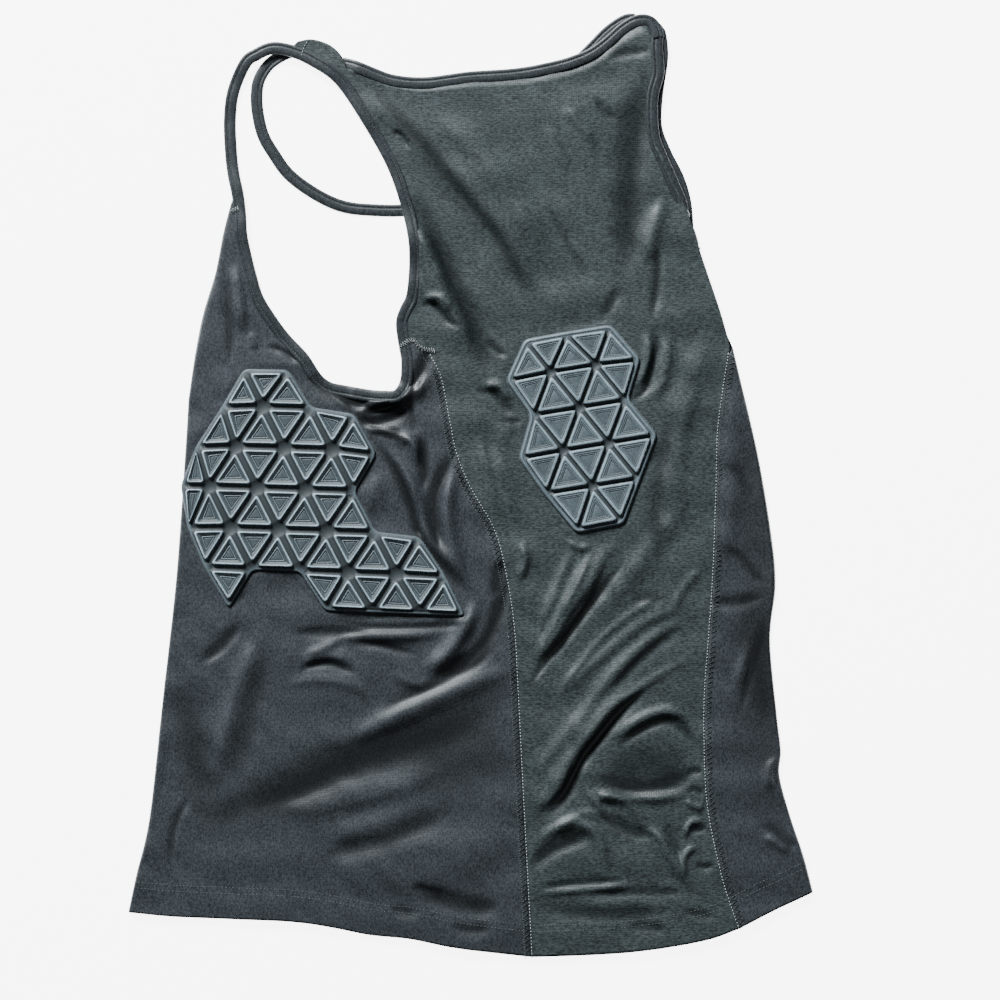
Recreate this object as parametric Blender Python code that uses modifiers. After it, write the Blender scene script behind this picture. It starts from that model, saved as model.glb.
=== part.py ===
"""Padded compression shirt, sleeveless, laid flat on a surface with its back side up.

The shirt is turned so that its left side shows. A front panel of stretch knit wraps round both
sides, and a back panel closes it between two flatlock seams. Folded bindings edge the neck and the
armholes, and two foam pads of triangular cells lie on the left ribs and between the shoulder blades.

Lengths in the tables are millimetres. +X is to the right, +Y towards the shoulders, +Z up, and the
surface that the shirt lies on is Z = 0.
"""
import bpy
import bmesh
import math
from mathutils import Vector
from mathutils.geometry import delaunay_2d_cdt

MM = 0.001

# Driving sizes
CLOTH = 1.0             # knit, one layer
BINDING_WIDTH = 9.0
BINDING_THICKNESS = 1.5
SEAM_GAP = 0.4          # between neighbouring pieces
UPPER_HEIGHT = 4.4      # outer face of the upper layer where it lies flat
BINDING_CROWN = 0.25    # middle of a folded strip above its edges
DEEPEST_TROUGH = 1.8    # below the upper layer's flat height
PAD_PLATE = 1.8         # foam between the cells
CELL_RISE = 3.6         # cell edge above the plate
CELL_DIP = 0.9          # cell centre below the cell edge
CELL_SLOPE = 1.5        # width of a cell's outer slope
CELL_EDGE = 1.5         # width of its flat edge
CELL_STEP = 0.9         # width of the step down to its centre
PAD_CORNER = 4.0        # cut back from each corner of a pad's outline

# Outline of the shirt, from the hem up, as points x, y
LEFT_FOLD = [(-256, -320), (-250, -292), (-240, -248), (-230, -158), (-220, -68), (-213.5, 22), (-211, 64)]
LEFT_FOLD_CHEST = [(-211, 64), (-206, 98), (-200, 128), (-191, 158), (-185, 188), (-182, 204)]
RIGHT_FOLD = [(257, -305), (250, -278), (240, -248), (232, -218), (233, -199), (230, -172), (225, -116),
              (229, -75), (226, -38), (216, 22), (202, 82), (197, 103)]
HEM_LEFT = [(-256, -320), (-225, -323), (-180, -325), (-135, -327), (-105, -331), (-75, -337), (-45, -340),
            (-15, -346), (15, -350), (46, -353.5)]
HEM_BACK = [(46, -353.5), (90, -352), (120, -350), (150, -346), (180, -340), (202, -332)]
HEM_RIGHT = [(202, -332), (225, -320), (240, -313), (257, -305)]
HEM_UNDER = [(-256, -320), (-150, -321), (-50, -333), (50, -344), (150, -338), (220, -318), (257, -305)]

# Seams between the front panel and the back panel, from the hem up
LEFT_SEAM = [(46, -353.5), (43, -296), (39, -221), (36, -161), (33, -109), (27, -68), (18, -34), (0, -2),
             (-10, 22), (-15, 45), (-22, 80), (-30, 97)]
RIGHT_SEAM = [(202, -332), (192, -303), (184, -271), (178, -237), (176, -200), (176, -158), (179, -116),
              (182, -74), (184, -26), (185, 5), (186, 41), (190, 72), (194, 98)]

# Centre lines of the bindings, as points x, y, outer height
ARMHOLE_LEFT = [(-134, 325, 4.5), (-118, 318, 4.5), (-98, 304, 4.5), (-79, 277, 4.5), (-59, 242, 4.5),
                (-48, 212, 4.5), (-42, 186, 4.5), (-41, 168, 4.5), (-42, 150, 4.5), (-44, 139, 4.5),
                (-48, 131, 4.5), (-51, 121, 4.5), (-49, 105, 4.5), (-47, 93, 4.5), (-48, 77, 4.5),
                (-54, 67, 4.5), (-64, 66, 4.5), (-76, 67, 4.5), (-93, 70, 4.5), (-106, 73, 4.5),
                (-115, 80, 4.5), (-125, 95, 4.5), (-139, 110, 4.5), (-150, 125, 4.5), (-159, 140, 4.5),
                (-164, 156, 4.5), (-168, 172, 4.5), (-171, 187, 4.5), (-172, 202, 4.3), (-174, 218, 3.5),
                (-177, 232, 2.6), (-179, 248, 1.8), (-180, 274, 1.7), (-177, 296, 2.4), (-168, 316, 3.9),
                (-160, 322, 4.3), (-148, 327, 4.5)]
NECK_FRONT = [(-128, 318), (-140, 321.5), (-151, 317), (-158, 305), (-160, 292), (-159, 278), (-155, 262),
              (-147, 248), (-135, 232), (-114, 217), (-94, 208.5), (-71, 206), (-48, 206), (-15, 210),
              (22, 227), (52, 262), (70, 296), (81, 316), (92, 328), (104, 340), (116, 348), (124, 349)]
NECK_BACK = [(-78.5, 313.5), (-68, 307), (-59, 303), (-45, 301), (-30, 301), (-15, 303), (0, 305),
             (15, 306), (30, 307), (45, 309), (60, 312), (77, 316), (98, 326), (115, 336), (127, 347)]
ARMHOLE_RIGHT = [(140, 331), (144, 319), (140, 291), (139, 268), (146, 249), (156, 230), (161, 211),
                 (164, 184), (170, 161), (177, 135), (182, 114), (178, 105), (170, 112), (161, 139),
                 (152, 167), (144, 195), (134, 225), (128, 251), (124, 281), (128, 308), (132, 326)]
RIGHT_INNER_RUN = 16            # the armhole's row where it begins to edge the back panel
NECK_FRONT_HEIGHT = 1.6
ARMHOLE_RIGHT_HEIGHT = 2.8

# Edges of the front panel's hidden layer, and where its upper layer stops under the left arm
UNDERARM = [(-211, 64), (-170, 62), (-130, 62)]
RING_TOP = (-134, 325)          # where the left armhole binding meets the back panel's corner
RING_SHOULDER = (-98, 304)      # where the shoulder piece of the back panel begins
RING_SEAM = (-50, 108)          # where the left seam ends on the binding
RING_UNDERARM = (-93, 70)       # where the upper layer narrows to the strip beside the binding
RING_TACK = (-172, 202)         # where that strip ends
NECK_UNDER = ((-40, 206), (116, 348))   # stretch of the front neck binding that edges the hidden layer
FOLD_UNDER_EDGE = [(-165, 60), (-172, 86), (-178, 116), (-181, 146), (-180, 176), (-177, 203)]
UNDER_TOP_LEFT = [(-211, 64), (-190, 62), (-165, 60)]
UNDER_TOP_MIDDLE = [(-165, 60), (-100, 54), (-30, 58)]
UNDER_TOP_RIGHT = [(-30, 58), (68, 75), (140, 92), (197, 103)]
UNDER_CHEST_EDGE = [(-30, 58), (-28, 101), (-30, 160)]
UNDER_ARM_EDGE = [(197, 103), (186, 128), (176, 158), (165, 190)]
UNDER_STRAP_EDGE = [(165, 190), (159, 211), (151, 230), (141, 249), (136, 268), (136, 291), (140, 312),
                    (135, 331)]
SHOULDER_TOP = [(-93.5, 319.5), (-105, 329.5), (-118.5, 333.7), (-129, 332)]
NECK_CORNER = [(-93.5, 319.5), (-86, 315.5), (-82, 310.5)]
BACK_ARM_EDGE = [(194, 98), (194.5, 104), (188, 128), (178, 158), (168, 188), (161, 200), (148, 207),
                 (137, 215)]

# Main folds: start, bend, end, half width, height. A ridge is above zero and a trough below.
FOLDS = [
    ("hip ridge", (28, -145), (-32, -158), (-88, -185), 8, 5.5),
    ("hip trough", (33, -155), (-60, -190), (-157, -224), 7, -1.6),
    ("waist crease", (23, -77), (-2, -122), (-20, -146), 5, -1.6),
    ("waist arc", (-122, -138), (-102, -132), (-83, -141), 6, 2.4),
    ("wrinkle under rib pad", (-116, -103), (-62, -112), (2, -106), 6, 3.0),
    ("seam trough", (-39, -44), (-20, -66), (4, -85), 6, -1.5),
    ("fold beside rib pad", (-28, 34), (-24, -10), (-10, -70), 7, 2.2),
    ("chest crease", (-180, 150), (-181, 120), (-179, 82), 6, 1.4),
    ("hip soft fold", (-180, -150), (-150, -230), (-165, -300), 12, 1.8),
    ("shoulder blade ridge", (-84, 300), (-8, 224), (44, 149), 9, 3.6),
    ("armhole ridge", (-34, 205), (-16, 165), (11, 106), 8, 3.0),
    ("armhole hook", (-30, 137), (-18, 128), (-4, 118), 5, -0.9),
    ("back pad hook", (8, 70), (20, 56), (30, 44), 5, 1.8),
    ("right blade fold", (146, 121), (146, 92), (139, 60), 6, 2.6),
    ("right arm valley", (110, 275), (106, 221), (118, 160), 8, -0.5),
    ("lower back diagonal", (119, -58), (84, -96), (42, -142), 9, 3.2),
    ("hip diagonal", (158, -154), (98, -196), (50, -250), 10, 4.0),
    ("hip arc", (84, -224), (131, -253), (164, -302), 8, 3.0),
    ("hem line", (54, -302), (86, -301), (119, -299), 5, 1.8),
    ("right side loop", (216, -263), (230, -268), (240, -268), 6, 1.4),
]
FOLD_CALM = 10.0        # ridges die out over this distance beside a pad
PAD_CLEAR = 20.0        # and the panel is flat this close to it

# Triangular cells of the pads: place of node 0, 0, step to the next column, step to the next row
RIB_LATTICE = ((-159, -2), (36.0, -1.25), (-20.0, -29.8))
BACK_LATTICE = ((82, 58), (33.85, 5.54), (21.72, -26.54))
# Edge nodes that the cloth pulls in: how far each moves in x and y
RIB_PULLED = {(-2, -3): (2.3, -3.8), (-1, -3): (-1, -3.2), (-2, -2): (5.8, -2), (1, -2): (-3.8, -3.9),
              (-2, -1): (6.5, -1.9), (2, -1): (-3.6, -2.2), (-1, 1): (4.5, -1.5), (0, 2): (1, 0),
              (1, 3): (2.8, 1.5), (3, 3): (3, 1.7), (6, 3): (-1.5, 1.5), (4, 1): (-3, -2.5),
              (-2, 0): (15.5, -1)}
BACK_PULLED = {(0, -2): (4, -4.4), (1, -2): (0, -4.4), (2, -2): (-2, -4.8), (-1, -1): (3.4, -0.6),
               (2, -1): (-3, -2), (-2, 1): (3, 0), (-2, 3): (1.2, -0.8)}
# Rows of cells: row, first and last cell point up, first and last point down
RIB_ROWS = [(-2, -2, -1, -1, -1), (-1, -2, 1, -1, 1), (0, -2, 1, -1, 2), (1, -1, 2, -1, 2), (2, 0, 4, 0, 4),
            (3, 3, 5, 3, 5), (3, 0, -1, 1, 1)]
BACK_ROWS = [(-1, -1, 1, 0, 1), (0, -1, 0, -1, 1), (1, -2, 0, -1, 0), (2, -2, -1, -2, 0), (3, -2, -2, -2, -1)]
# Nodes round each pad, clockwise from its upper left
RIB_BORDER = [(-2, -3), (-1, -3), (0, -2), (1, -2), (2, -1), (2, 0), (3, 1), (4, 1), (5, 2), (6, 3), (3, 3),
              (2, 2), (1, 2), (1, 3), (0, 2), (-1, 1), (-2, 0), (-2, -1), (-2, -2)]
BACK_BORDER = [(0, -2), (2, -2), (2, -1), (1, 0), (1, 1), (0, 2), (-1, 3), (-2, 3), (-2, 2), (-2, 1), (-1, 0),
               (-1, -1)]
# Flat strip between a cell's foot and its lattice line, and foam border outside the lattice
RIB_GROOVE, RIB_RIM = 2.4, 0.8
BACK_GROOVE, BACK_RIM = 1.3, 3.0

# Mesh density
ROWS = 30
FOLD_STEPS = (0.7, 2.4)         # first columns in from a side fold
UPPER_COLUMNS = 11
UNDER_COLUMNS = (4, 5, 8)       # left of the armhole, below it and right of it
UNDER_ARM_ROWS = 5
STRIP_COLUMNS = 6
SHOULDER_COLUMNS = 2
CURVE_STEPS = 12                # between two knots of a smooth line
FINE_STEPS = 200                # along an edge that is then spaced unevenly
WELD = 0.02                     # between patches that share an edge


def smooth_line(points, count, closed=False):
    """Points at equal steps along a smooth curve through the given points."""
    knots = [Vector(p) for p in points]
    if closed:
        ends = [knots[-1]] + knots + [knots[0], knots[1]]
    else:
        ends = [knots[0] * 2 - knots[1]] + knots + [knots[-1] * 2 - knots[-2]]
    fine = []
    for before, a, b, after in zip(ends, ends[1:], ends[2:], ends[3:]):
        for step in range(CURVE_STEPS):
            t = step / CURVE_STEPS
            fine.append(0.5 * ((2 * a) + (b - before) * t + (2 * before - 5 * a + 4 * b - after) * t * t
                               + (3 * a - before - 3 * b + after) * t ** 3))
    fine.append(knots[0] if closed else knots[-1])
    return spaced(fine, [i / count for i in range(count + 1)])


def stretch(line, start, end):
    """The part of a line between the points nearest to two places, flattened to x, y."""
    flat = [Vector((p.x, p.y)) for p in line]
    first = min(range(len(flat)), key=lambda k: (flat[k] - Vector(start)).length)
    last = min(range(len(flat)), key=lambda k: (flat[k] - Vector(end)).length)
    return flat[first:last + 1]


def spaced(line, shares):
    """Points at the given shares of a line's length."""
    lengths = [0.0]
    for a, b in zip(line, line[1:]):
        lengths.append(lengths[-1] + (b - a).length)
    out = []
    segment = 0
    for share in shares:
        wanted = share * lengths[-1]
        while segment < len(line) - 2 and lengths[segment + 1] < wanted:
            segment += 1
        span = lengths[segment + 1] - lengths[segment]
        t = (wanted - lengths[segment]) / span if span else 0.0
        out.append(line[segment].lerp(line[segment + 1], min(max(t, 0.0), 1.0)))
    return out


def fold_line(points, count, start_steps=(), end_steps=()):
    """A smooth line with extra points close to an end where the cloth turns over a side."""
    line = smooth_line(points, FINE_STEPS)
    length = sum((b - a).length for a, b in zip(line, line[1:]))
    shares = [0.0] + [s / length for s in start_steps]
    tail = [1.0 - s / length for s in reversed(end_steps)] + [1.0]
    inner = count - len(start_steps) - len(end_steps)
    for i in range(1, inner):
        shares.append(shares[len(start_steps)] + (tail[0] - shares[len(start_steps)]) * i / inner)
    return spaced(line, shares + tail)


def sideways(points, distance):
    """The line moved to its right by a distance, in the plane of the surface."""
    out = []
    for i, point in enumerate(points):
        along = points[min(i + 1, len(points) - 1)] - points[max(i - 1, 0)]
        across = Vector((along.y, -along.x)).normalized()
        out.append(Vector((point.x, point.y)) + across * distance)
    return out


def patch(bottom, top, left, right):
    """Rows of points that fill the space between four edges."""
    low_shares = [edge_share(bottom, i) for i in range(len(bottom))]
    high_shares = [edge_share(top, i) for i in range(len(top))]
    rows = len(left) - 1
    grid = []
    for j in range(rows + 1):
        v = j / rows
        row = []
        for i, (low, high) in enumerate(zip(low_shares, high_shares)):
            across = left[j].lerp(right[j], low * (1 - v) + high * v)
            lift = (bottom[i] - bottom[0].lerp(bottom[-1], low)) * (1 - v)
            drop = (top[i] - top[0].lerp(top[-1], high)) * v
            row.append(across + lift + drop)
        grid.append(row)
    return grid


def edge_share(edge, index):
    """How far along an edge a point lies, from 0 to 1."""
    lengths = [(b - a).length for a, b in zip(edge, edge[1:])]
    return sum(lengths[:index]) / sum(lengths)


def distance_to_line(point, line):
    """Distance from a point to a line of points."""
    best = 1e9
    for a, b in zip(line, line[1:]):
        along = b - a
        t = max(0.0, min(1.0, (point - a).dot(along) / along.length_squared))
        best = min(best, (point - a - along * t).length)
    return best


def inside(point, outline):
    """Whether a point lies inside a closed outline."""
    odd = False
    for a, b in zip(outline, outline[1:] + outline[:1]):
        if (a.y > point.y) != (b.y > point.y):
            if point.x < (b.x - a.x) * (point.y - a.y) / (b.y - a.y) + a.x:
                odd = not odd
    return odd


def lattice_node(lattice, pulled, node):
    """Place of one node of a pad's triangle lattice."""
    origin, column, row = (Vector(place) for place in lattice)
    return origin + column * node[0] + row * node[1] + Vector(pulled.get(node, (0, 0)))


def pad_cells(lattice, pulled, rows):
    """The three corners of each cell of a pad, anticlockwise."""
    shift = 1 if lattice[2][0] > 0 else 0
    cells = []
    for j, first_up, last_up, first_down, last_down in rows:
        for i in range(first_up, last_up + 1):
            cells.append([(i, j), (i + 1, j), (i + shift, j - 1)])
        for i in range(first_down, last_down + 1):
            cells.append([(i, j), (i + shift, j - 1), (i + shift - 1, j - 1)])
    return [[lattice_node(lattice, pulled, node) for node in cell] for cell in cells]


def shrunk(corners, distance):
    """A polygon with each side moved in by a distance; a negative one moves it out."""
    out = []
    count = len(corners)
    for k in range(count):
        before = (corners[k] - corners[k - 1]).normalized()
        after = (corners[(k + 1) % count] - corners[k]).normalized()
        normal_a = Vector((-before.y, before.x))
        normal_b = Vector((-after.y, after.x))
        middle = normal_a + normal_b
        out.append(corners[k] + middle * (distance / max(middle.length_squared / 2, 0.5)))
    return out


def pad_outline(lattice, pulled, border, rim):
    """The pad's edge: its border nodes moved out, with each corner cut back."""
    nodes = [lattice_node(lattice, pulled, node) for node in border]
    nodes.reverse()
    wide = shrunk(nodes, -rim)
    out = []
    for k, corner in enumerate(wide):
        before = wide[k - 1] - corner
        after = wide[(k + 1) % len(wide)] - corner
        cut = min(PAD_CORNER, before.length / 3, after.length / 3)
        out.append(corner + before.normalized() * cut)
        out.append(corner + after.normalized() * cut)
    return out


EDGE = BINDING_WIDTH / 2 + SEAM_GAP
RING_LEFT = smooth_line(ARMHOLE_LEFT, 72, closed=True)[:-1]
RING_RIGHT = smooth_line([(x, y, ARMHOLE_RIGHT_HEIGHT) for x, y in ARMHOLE_RIGHT], 56, closed=True)[:-1]
NECK_FRONT_LINE = smooth_line([(x, y, NECK_FRONT_HEIGHT) for x, y in NECK_FRONT], 50)
NECK_BACK_LINE = smooth_line([(x, y, UPPER_HEIGHT) for x, y in NECK_BACK], 17)
RING_BACK_EDGE = sideways(stretch(RING_LEFT, RING_SHOULDER, RING_SEAM), -EDGE)[::-1]
RING_SHOULDER_EDGE = sideways(stretch(RING_LEFT, RING_TOP, RING_SHOULDER), -EDGE)[::-1]
RING_FRONT_EDGE = sideways(stretch(RING_LEFT, RING_UNDERARM, RING_TACK), -EDGE)
RING_BOTTOM_EDGE = sideways(stretch(RING_LEFT, RING_SEAM, RING_UNDERARM), -EDGE)[::-1]
LEFT_SEAM_LINE = smooth_line(LEFT_SEAM + [RING_BACK_EDGE[0]], ROWS)
RIGHT_SEAM_LINE = smooth_line(RIGHT_SEAM, ROWS)

RIB_OUTLINE = pad_outline(RIB_LATTICE, RIB_PULLED, RIB_BORDER, RIB_RIM)
BACK_OUTLINE = pad_outline(BACK_LATTICE, BACK_PULLED, BACK_BORDER, BACK_RIM)
FOLD_LINES = [(smooth_line(row[1:4], 10), row[4], row[5]) for row in FOLDS]


def upper_height(point):
    """Height of the upper layer's outer face, with its folds, calm round the pads."""
    total = 0.0
    for line, width, height in FOLD_LINES:
        away = distance_to_line(point, line)
        along = min((point - line[0]).length, (point - line[-1]).length)
        fade = min(1.0, along / (2.0 * width) + 0.25)
        total += height * fade * math.exp(-(away / width) ** 2)
    for outline in (RIB_OUTLINE, BACK_OUTLINE):
        if inside(point, outline):
            return UPPER_HEIGHT
        away = distance_to_line(point, outline + outline[:1])
        share = max(0.0, min(1.0, (away - PAD_CLEAR) / FOLD_CALM))
        if total > 0:
            total *= share * share * (3 - 2 * share)
    return UPPER_HEIGHT + max(total, -DEEPEST_TROUGH)


def turned_height(full, distance):
    """Height near a side fold, where the cloth turns over in half a circle."""
    radius = full / 2
    if distance >= radius:
        return full
    return radius + math.sqrt(max(radius ** 2 - (radius - distance) ** 2, 0.0))


def sheet_faces(mesh, grid, layer, fold_left=None, fold_right=None):
    """Add one patch of the wrapped panel to a mesh, on its upper or its lower layer."""
    rows = []
    for j, row in enumerate(grid):
        verts = []
        for point in row:
            full = upper_height(point)
            away = 1e9
            for fold in (fold_left, fold_right):
                if fold:
                    away = min(away, (point - fold[j]).length)
            height = turned_height(full, away)
            if layer == "under":
                height = full - height if away < full / 2 else 0.0
            verts.append(mesh.verts.new((point.x * MM, point.y * MM, height * MM)))
        rows.append(verts)
    for low, high in zip(rows, rows[1:]):
        for k in range(len(low) - 1):
            corners = [low[k], low[k + 1], high[k + 1], high[k]]
            if layer == "under":
                corners.reverse()
            mesh.faces.new(corners)


def material(name, colour, roughness):
    """A plain principled material."""
    made = bpy.data.materials.new(name)
    made.use_nodes = True
    shader = made.node_tree.nodes["Principled BSDF"]
    shader.inputs["Base Color"].default_value = (*colour, 1.0)
    shader.inputs["Roughness"].default_value = roughness
    shader.inputs["Metallic"].default_value = 0.0
    return made


KNIT = material("charcoal knit", (0.052, 0.062, 0.070), 0.75)
JERSEY = material("charcoal mesh jersey", (0.056, 0.069, 0.073), 0.80)
BINDING = material("charcoal binding", (0.048, 0.058, 0.064), 0.70)
FOAM = material("charcoal moulded foam", (0.105, 0.130, 0.145), 0.60)


def finished(name, mesh, surface):
    """Link a mesh to the shirt's collection as a named piece."""
    data = bpy.data.meshes.new(name)
    mesh.to_mesh(data)
    mesh.free()
    data.materials.append(surface)
    piece = bpy.data.objects.new(name, data)
    shirt.objects.link(piece)
    return piece


def give_wall(piece, thickness):
    """Thicken an open sheet inwards from its outer face."""
    wall = piece.modifiers.new("Cloth wall", "SOLIDIFY")
    wall.thickness = thickness * MM
    wall.offset = -1.0


def make_front_panel():
    """The panel that wraps both sides: upper left, the whole underside and the right strip."""
    mesh = bmesh.new()
    left_fold = smooth_line(LEFT_FOLD, ROWS)
    right_fold = smooth_line(RIGHT_FOLD, ROWS)
    chest_rows = len(RING_FRONT_EDGE) - 1
    chest_fold = smooth_line(LEFT_FOLD_CHEST, chest_rows)

    underarm = fold_line(UNDERARM + [RING_FRONT_EDGE[0]], UPPER_COLUMNS, start_steps=FOLD_STEPS)
    top = underarm + RING_BOTTOM_EDGE[1:]
    hem = fold_line(HEM_LEFT, len(top) - 1, start_steps=FOLD_STEPS)
    seam = sideways(LEFT_SEAM_LINE, -SEAM_GAP / 2)
    top[-1] = seam[-1]
    hem[-1] = seam[0]
    sheet_faces(mesh, patch(hem, top, left_fold, seam), "upper", fold_left=left_fold)

    chest_top = fold_line([chest_fold[-1], RING_FRONT_EDGE[-1]], UPPER_COLUMNS, start_steps=FOLD_STEPS)
    sheet_faces(mesh, patch(underarm, chest_top, chest_fold, RING_FRONT_EDGE), "upper", fold_left=chest_fold)

    left_columns, middle_columns, right_columns = UNDER_COLUMNS
    under_left = fold_line(UNDER_TOP_LEFT, left_columns, start_steps=FOLD_STEPS)
    under_middle = smooth_line(UNDER_TOP_MIDDLE, middle_columns)
    under_right = fold_line(UNDER_TOP_RIGHT, right_columns, end_steps=FOLD_STEPS)
    under_top = under_left + under_middle[1:] + under_right[1:]
    under_hem = fold_line(HEM_UNDER, sum(UNDER_COLUMNS), start_steps=FOLD_STEPS, end_steps=FOLD_STEPS)
    sheet_faces(mesh, patch(under_hem, under_top, left_fold, right_fold), "under",
                fold_left=left_fold, fold_right=right_fold)

    tuck_edge = smooth_line(FOLD_UNDER_EDGE, chest_rows)
    tuck_top = fold_line([chest_fold[-1], tuck_edge[-1]], left_columns, start_steps=FOLD_STEPS)
    sheet_faces(mesh, patch(under_left, tuck_top, chest_fold, tuck_edge), "under", fold_left=chest_fold)

    neck_edge = sideways(stretch(NECK_FRONT_LINE, *NECK_UNDER), EDGE)
    chest_edge = smooth_line(UNDER_CHEST_EDGE + [neck_edge[0]], UNDER_ARM_ROWS)
    arm_edge = smooth_line(UNDER_ARM_EDGE, UNDER_ARM_ROWS)
    arm_edge += smooth_line(UNDER_STRAP_EDGE, len(neck_edge) - 1)[1:]
    strap_end = fold_line([neck_edge[-1], arm_edge[-1]], right_columns, end_steps=FOLD_STEPS)
    sheet_faces(mesh, patch(under_right, strap_end, chest_edge + neck_edge[1:], arm_edge), "under")

    strip_seam = sideways(RIGHT_SEAM_LINE, SEAM_GAP / 2)
    strip_top = fold_line([strip_seam[-1], right_fold[-1]], STRIP_COLUMNS, end_steps=FOLD_STEPS)
    strip_hem = fold_line([strip_seam[0]] + HEM_RIGHT[1:], STRIP_COLUMNS, end_steps=FOLD_STEPS)
    sheet_faces(mesh, patch(strip_hem, strip_top, strip_seam, right_fold), "upper", fold_right=right_fold)

    bmesh.ops.remove_doubles(mesh, verts=mesh.verts, dist=WELD * MM)
    piece = finished("front_panel", mesh, KNIT)
    give_wall(piece, CLOTH)
    return piece


def make_back_panel():
    """The panel between the two seams, from the hem to the back neck."""
    mesh = bmesh.new()
    left = sideways(LEFT_SEAM_LINE, SEAM_GAP / 2) + RING_BACK_EDGE[1:]
    seam_right = sideways(RIGHT_SEAM_LINE, -SEAM_GAP / 2)[:-1]
    arm_rows = len(left) - len(seam_right)
    arm_edge = smooth_line(BACK_ARM_EDGE, arm_rows // 2)
    inner_run = smooth_line(ARMHOLE_RIGHT[RIGHT_INNER_RUN:], arm_rows - arm_rows // 2 - 1)
    run_edge = sideways(inner_run, -EDGE)
    right = seam_right + arm_edge + run_edge[1:]
    neck_edge = sideways(NECK_BACK_LINE, EDGE)
    across = fold_line([left[-1], SHOULDER_TOP[0]], SHOULDER_COLUMNS)
    top = across + smooth_line(NECK_CORNER, SHOULDER_COLUMNS)[1:] + neck_edge
    right[-1] = top[-1]
    hem = fold_line([left[0]] + HEM_BACK[1:-1] + [right[0]], len(top) - 1)
    sheet_faces(mesh, patch(hem, top, left, right), "upper")

    shoulder_edge = [left[-1]] + RING_SHOULDER_EDGE[1:]
    shoulder_top = smooth_line(SHOULDER_TOP, len(shoulder_edge) - 1)
    shoulder_end = fold_line([shoulder_edge[-1], shoulder_top[-1]], SHOULDER_COLUMNS)
    sheet_faces(mesh, patch(across, shoulder_end, shoulder_edge, shoulder_top), "upper")
    bmesh.ops.remove_doubles(mesh, verts=mesh.verts, dist=WELD * MM)
    piece = finished("back_panel", mesh, JERSEY)
    give_wall(piece, CLOTH)
    return piece


def make_binding(name, line, closed=False):
    """A folded strip along a centre line of x, y, outer height, slightly crowned."""
    mesh = bmesh.new()
    rows = []
    total = len(line)
    for k, point in enumerate(line):
        ahead = line[(k + 1) % total] if closed else line[min(k + 1, total - 1)]
        behind = line[k - 1] if closed else line[max(k - 1, 0)]
        along = ahead - behind
        across = Vector((along.y, -along.x, 0.0)).normalized() * (BINDING_WIDTH / 2)
        crown = Vector((0.0, 0.0, BINDING_CROWN))
        edges = [point - across - crown, point, point + across - crown]
        rows.append([mesh.verts.new(edge * MM) for edge in edges])
    pairs = list(zip(rows, rows[1:])) + ([(rows[-1], rows[0])] if closed else [])
    for low, high in pairs:
        for k in (0, 1):
            mesh.faces.new([low[k], low[k + 1], high[k + 1], high[k]])
    piece = finished(name, mesh, BINDING)
    give_wall(piece, BINDING_THICKNESS - BINDING_CROWN)
    return piece


def make_pad(name, cells, outline, groove):
    """A foam plate on the panel, with a raised, stepped triangle in each cell."""
    corners = list(outline)
    loops = [list(range(len(outline)))]
    for cell in cells:
        loops.append([len(corners) + k for k in range(3)])
        corners += shrunk(cell, groove)
    edges = [(loop[k - 1], loop[k]) for loop in loops for k in range(len(loop))]
    flat = delaunay_2d_cdt(corners, edges, [], 1, 1e-6)
    points, triangles = flat[0], flat[2]

    mesh = bmesh.new()
    base = (UPPER_HEIGHT + SEAM_GAP) * MM
    verts = [mesh.verts.new((p.x * MM, p.y * MM, base + PAD_PLATE * MM)) for p in points]
    tops = []
    centres = [sum(cell, Vector((0.0, 0.0))) / 3 for cell in cells]
    for triangle in triangles:
        face = mesh.faces.new([verts[k] for k in triangle])
        middle = sum((points[k] for k in triangle), Vector((0.0, 0.0))) / 3
        if min((middle - centre).length for centre in centres) < CELL_EDGE:
            tops.append(face)
    mesh.normal_update()
    bottom = bmesh.ops.duplicate(mesh, geom=mesh.faces[:])["geom"]
    lower_verts = [item for item in bottom if isinstance(item, bmesh.types.BMVert)]
    lower_faces = [item for item in bottom if isinstance(item, bmesh.types.BMFace)]
    bmesh.ops.translate(mesh, verts=lower_verts, vec=(0, 0, -PAD_PLATE * MM))
    bmesh.ops.reverse_faces(mesh, faces=lower_faces)
    rim = [edge for edge in mesh.edges if edge.is_boundary]
    bmesh.ops.bridge_loops(mesh, edges=rim)

    for inset, rise in ((CELL_SLOPE, CELL_RISE), (CELL_EDGE, 0.0), (CELL_STEP, -CELL_DIP)):
        bmesh.ops.inset_individual(mesh, faces=tops, thickness=inset * MM, depth=rise * MM,
                                   use_even_offset=True)
    bmesh.ops.recalc_face_normals(mesh, faces=mesh.faces)
    return finished(name, mesh, FOAM)


for old in list(bpy.data.objects):
    bpy.data.objects.remove(old, do_unlink=True)
shirt = bpy.data.collections.new("padded_compression_shirt")
bpy.context.scene.collection.children.link(shirt)

make_front_panel()
make_back_panel()
make_binding("armhole_binding_left", RING_LEFT, closed=True)
make_binding("armhole_binding_right", RING_RIGHT, closed=True)
make_binding("neck_binding_front", NECK_FRONT_LINE)
make_binding("neck_binding_back", NECK_BACK_LINE)
make_pad("rib_pad", pad_cells(RIB_LATTICE, RIB_PULLED, RIB_ROWS), RIB_OUTLINE, RIB_GROOVE)
make_pad("back_pad", pad_cells(BACK_LATTICE, BACK_PULLED, BACK_ROWS), BACK_OUTLINE, BACK_GROOVE)
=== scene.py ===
"""Padded compression shirt, sleeveless, laid flat with its back side up.

Each section makes one piece of the shirt as it is put together. Lengths in the tables are
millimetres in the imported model's frame: +X right, +Y towards the shoulders, +Z up, floor at Z = 0.
"""
import bpy
import bmesh
import math
import numpy as np
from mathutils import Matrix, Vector
from mathutils.geometry import delaunay_2d_cdt


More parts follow.
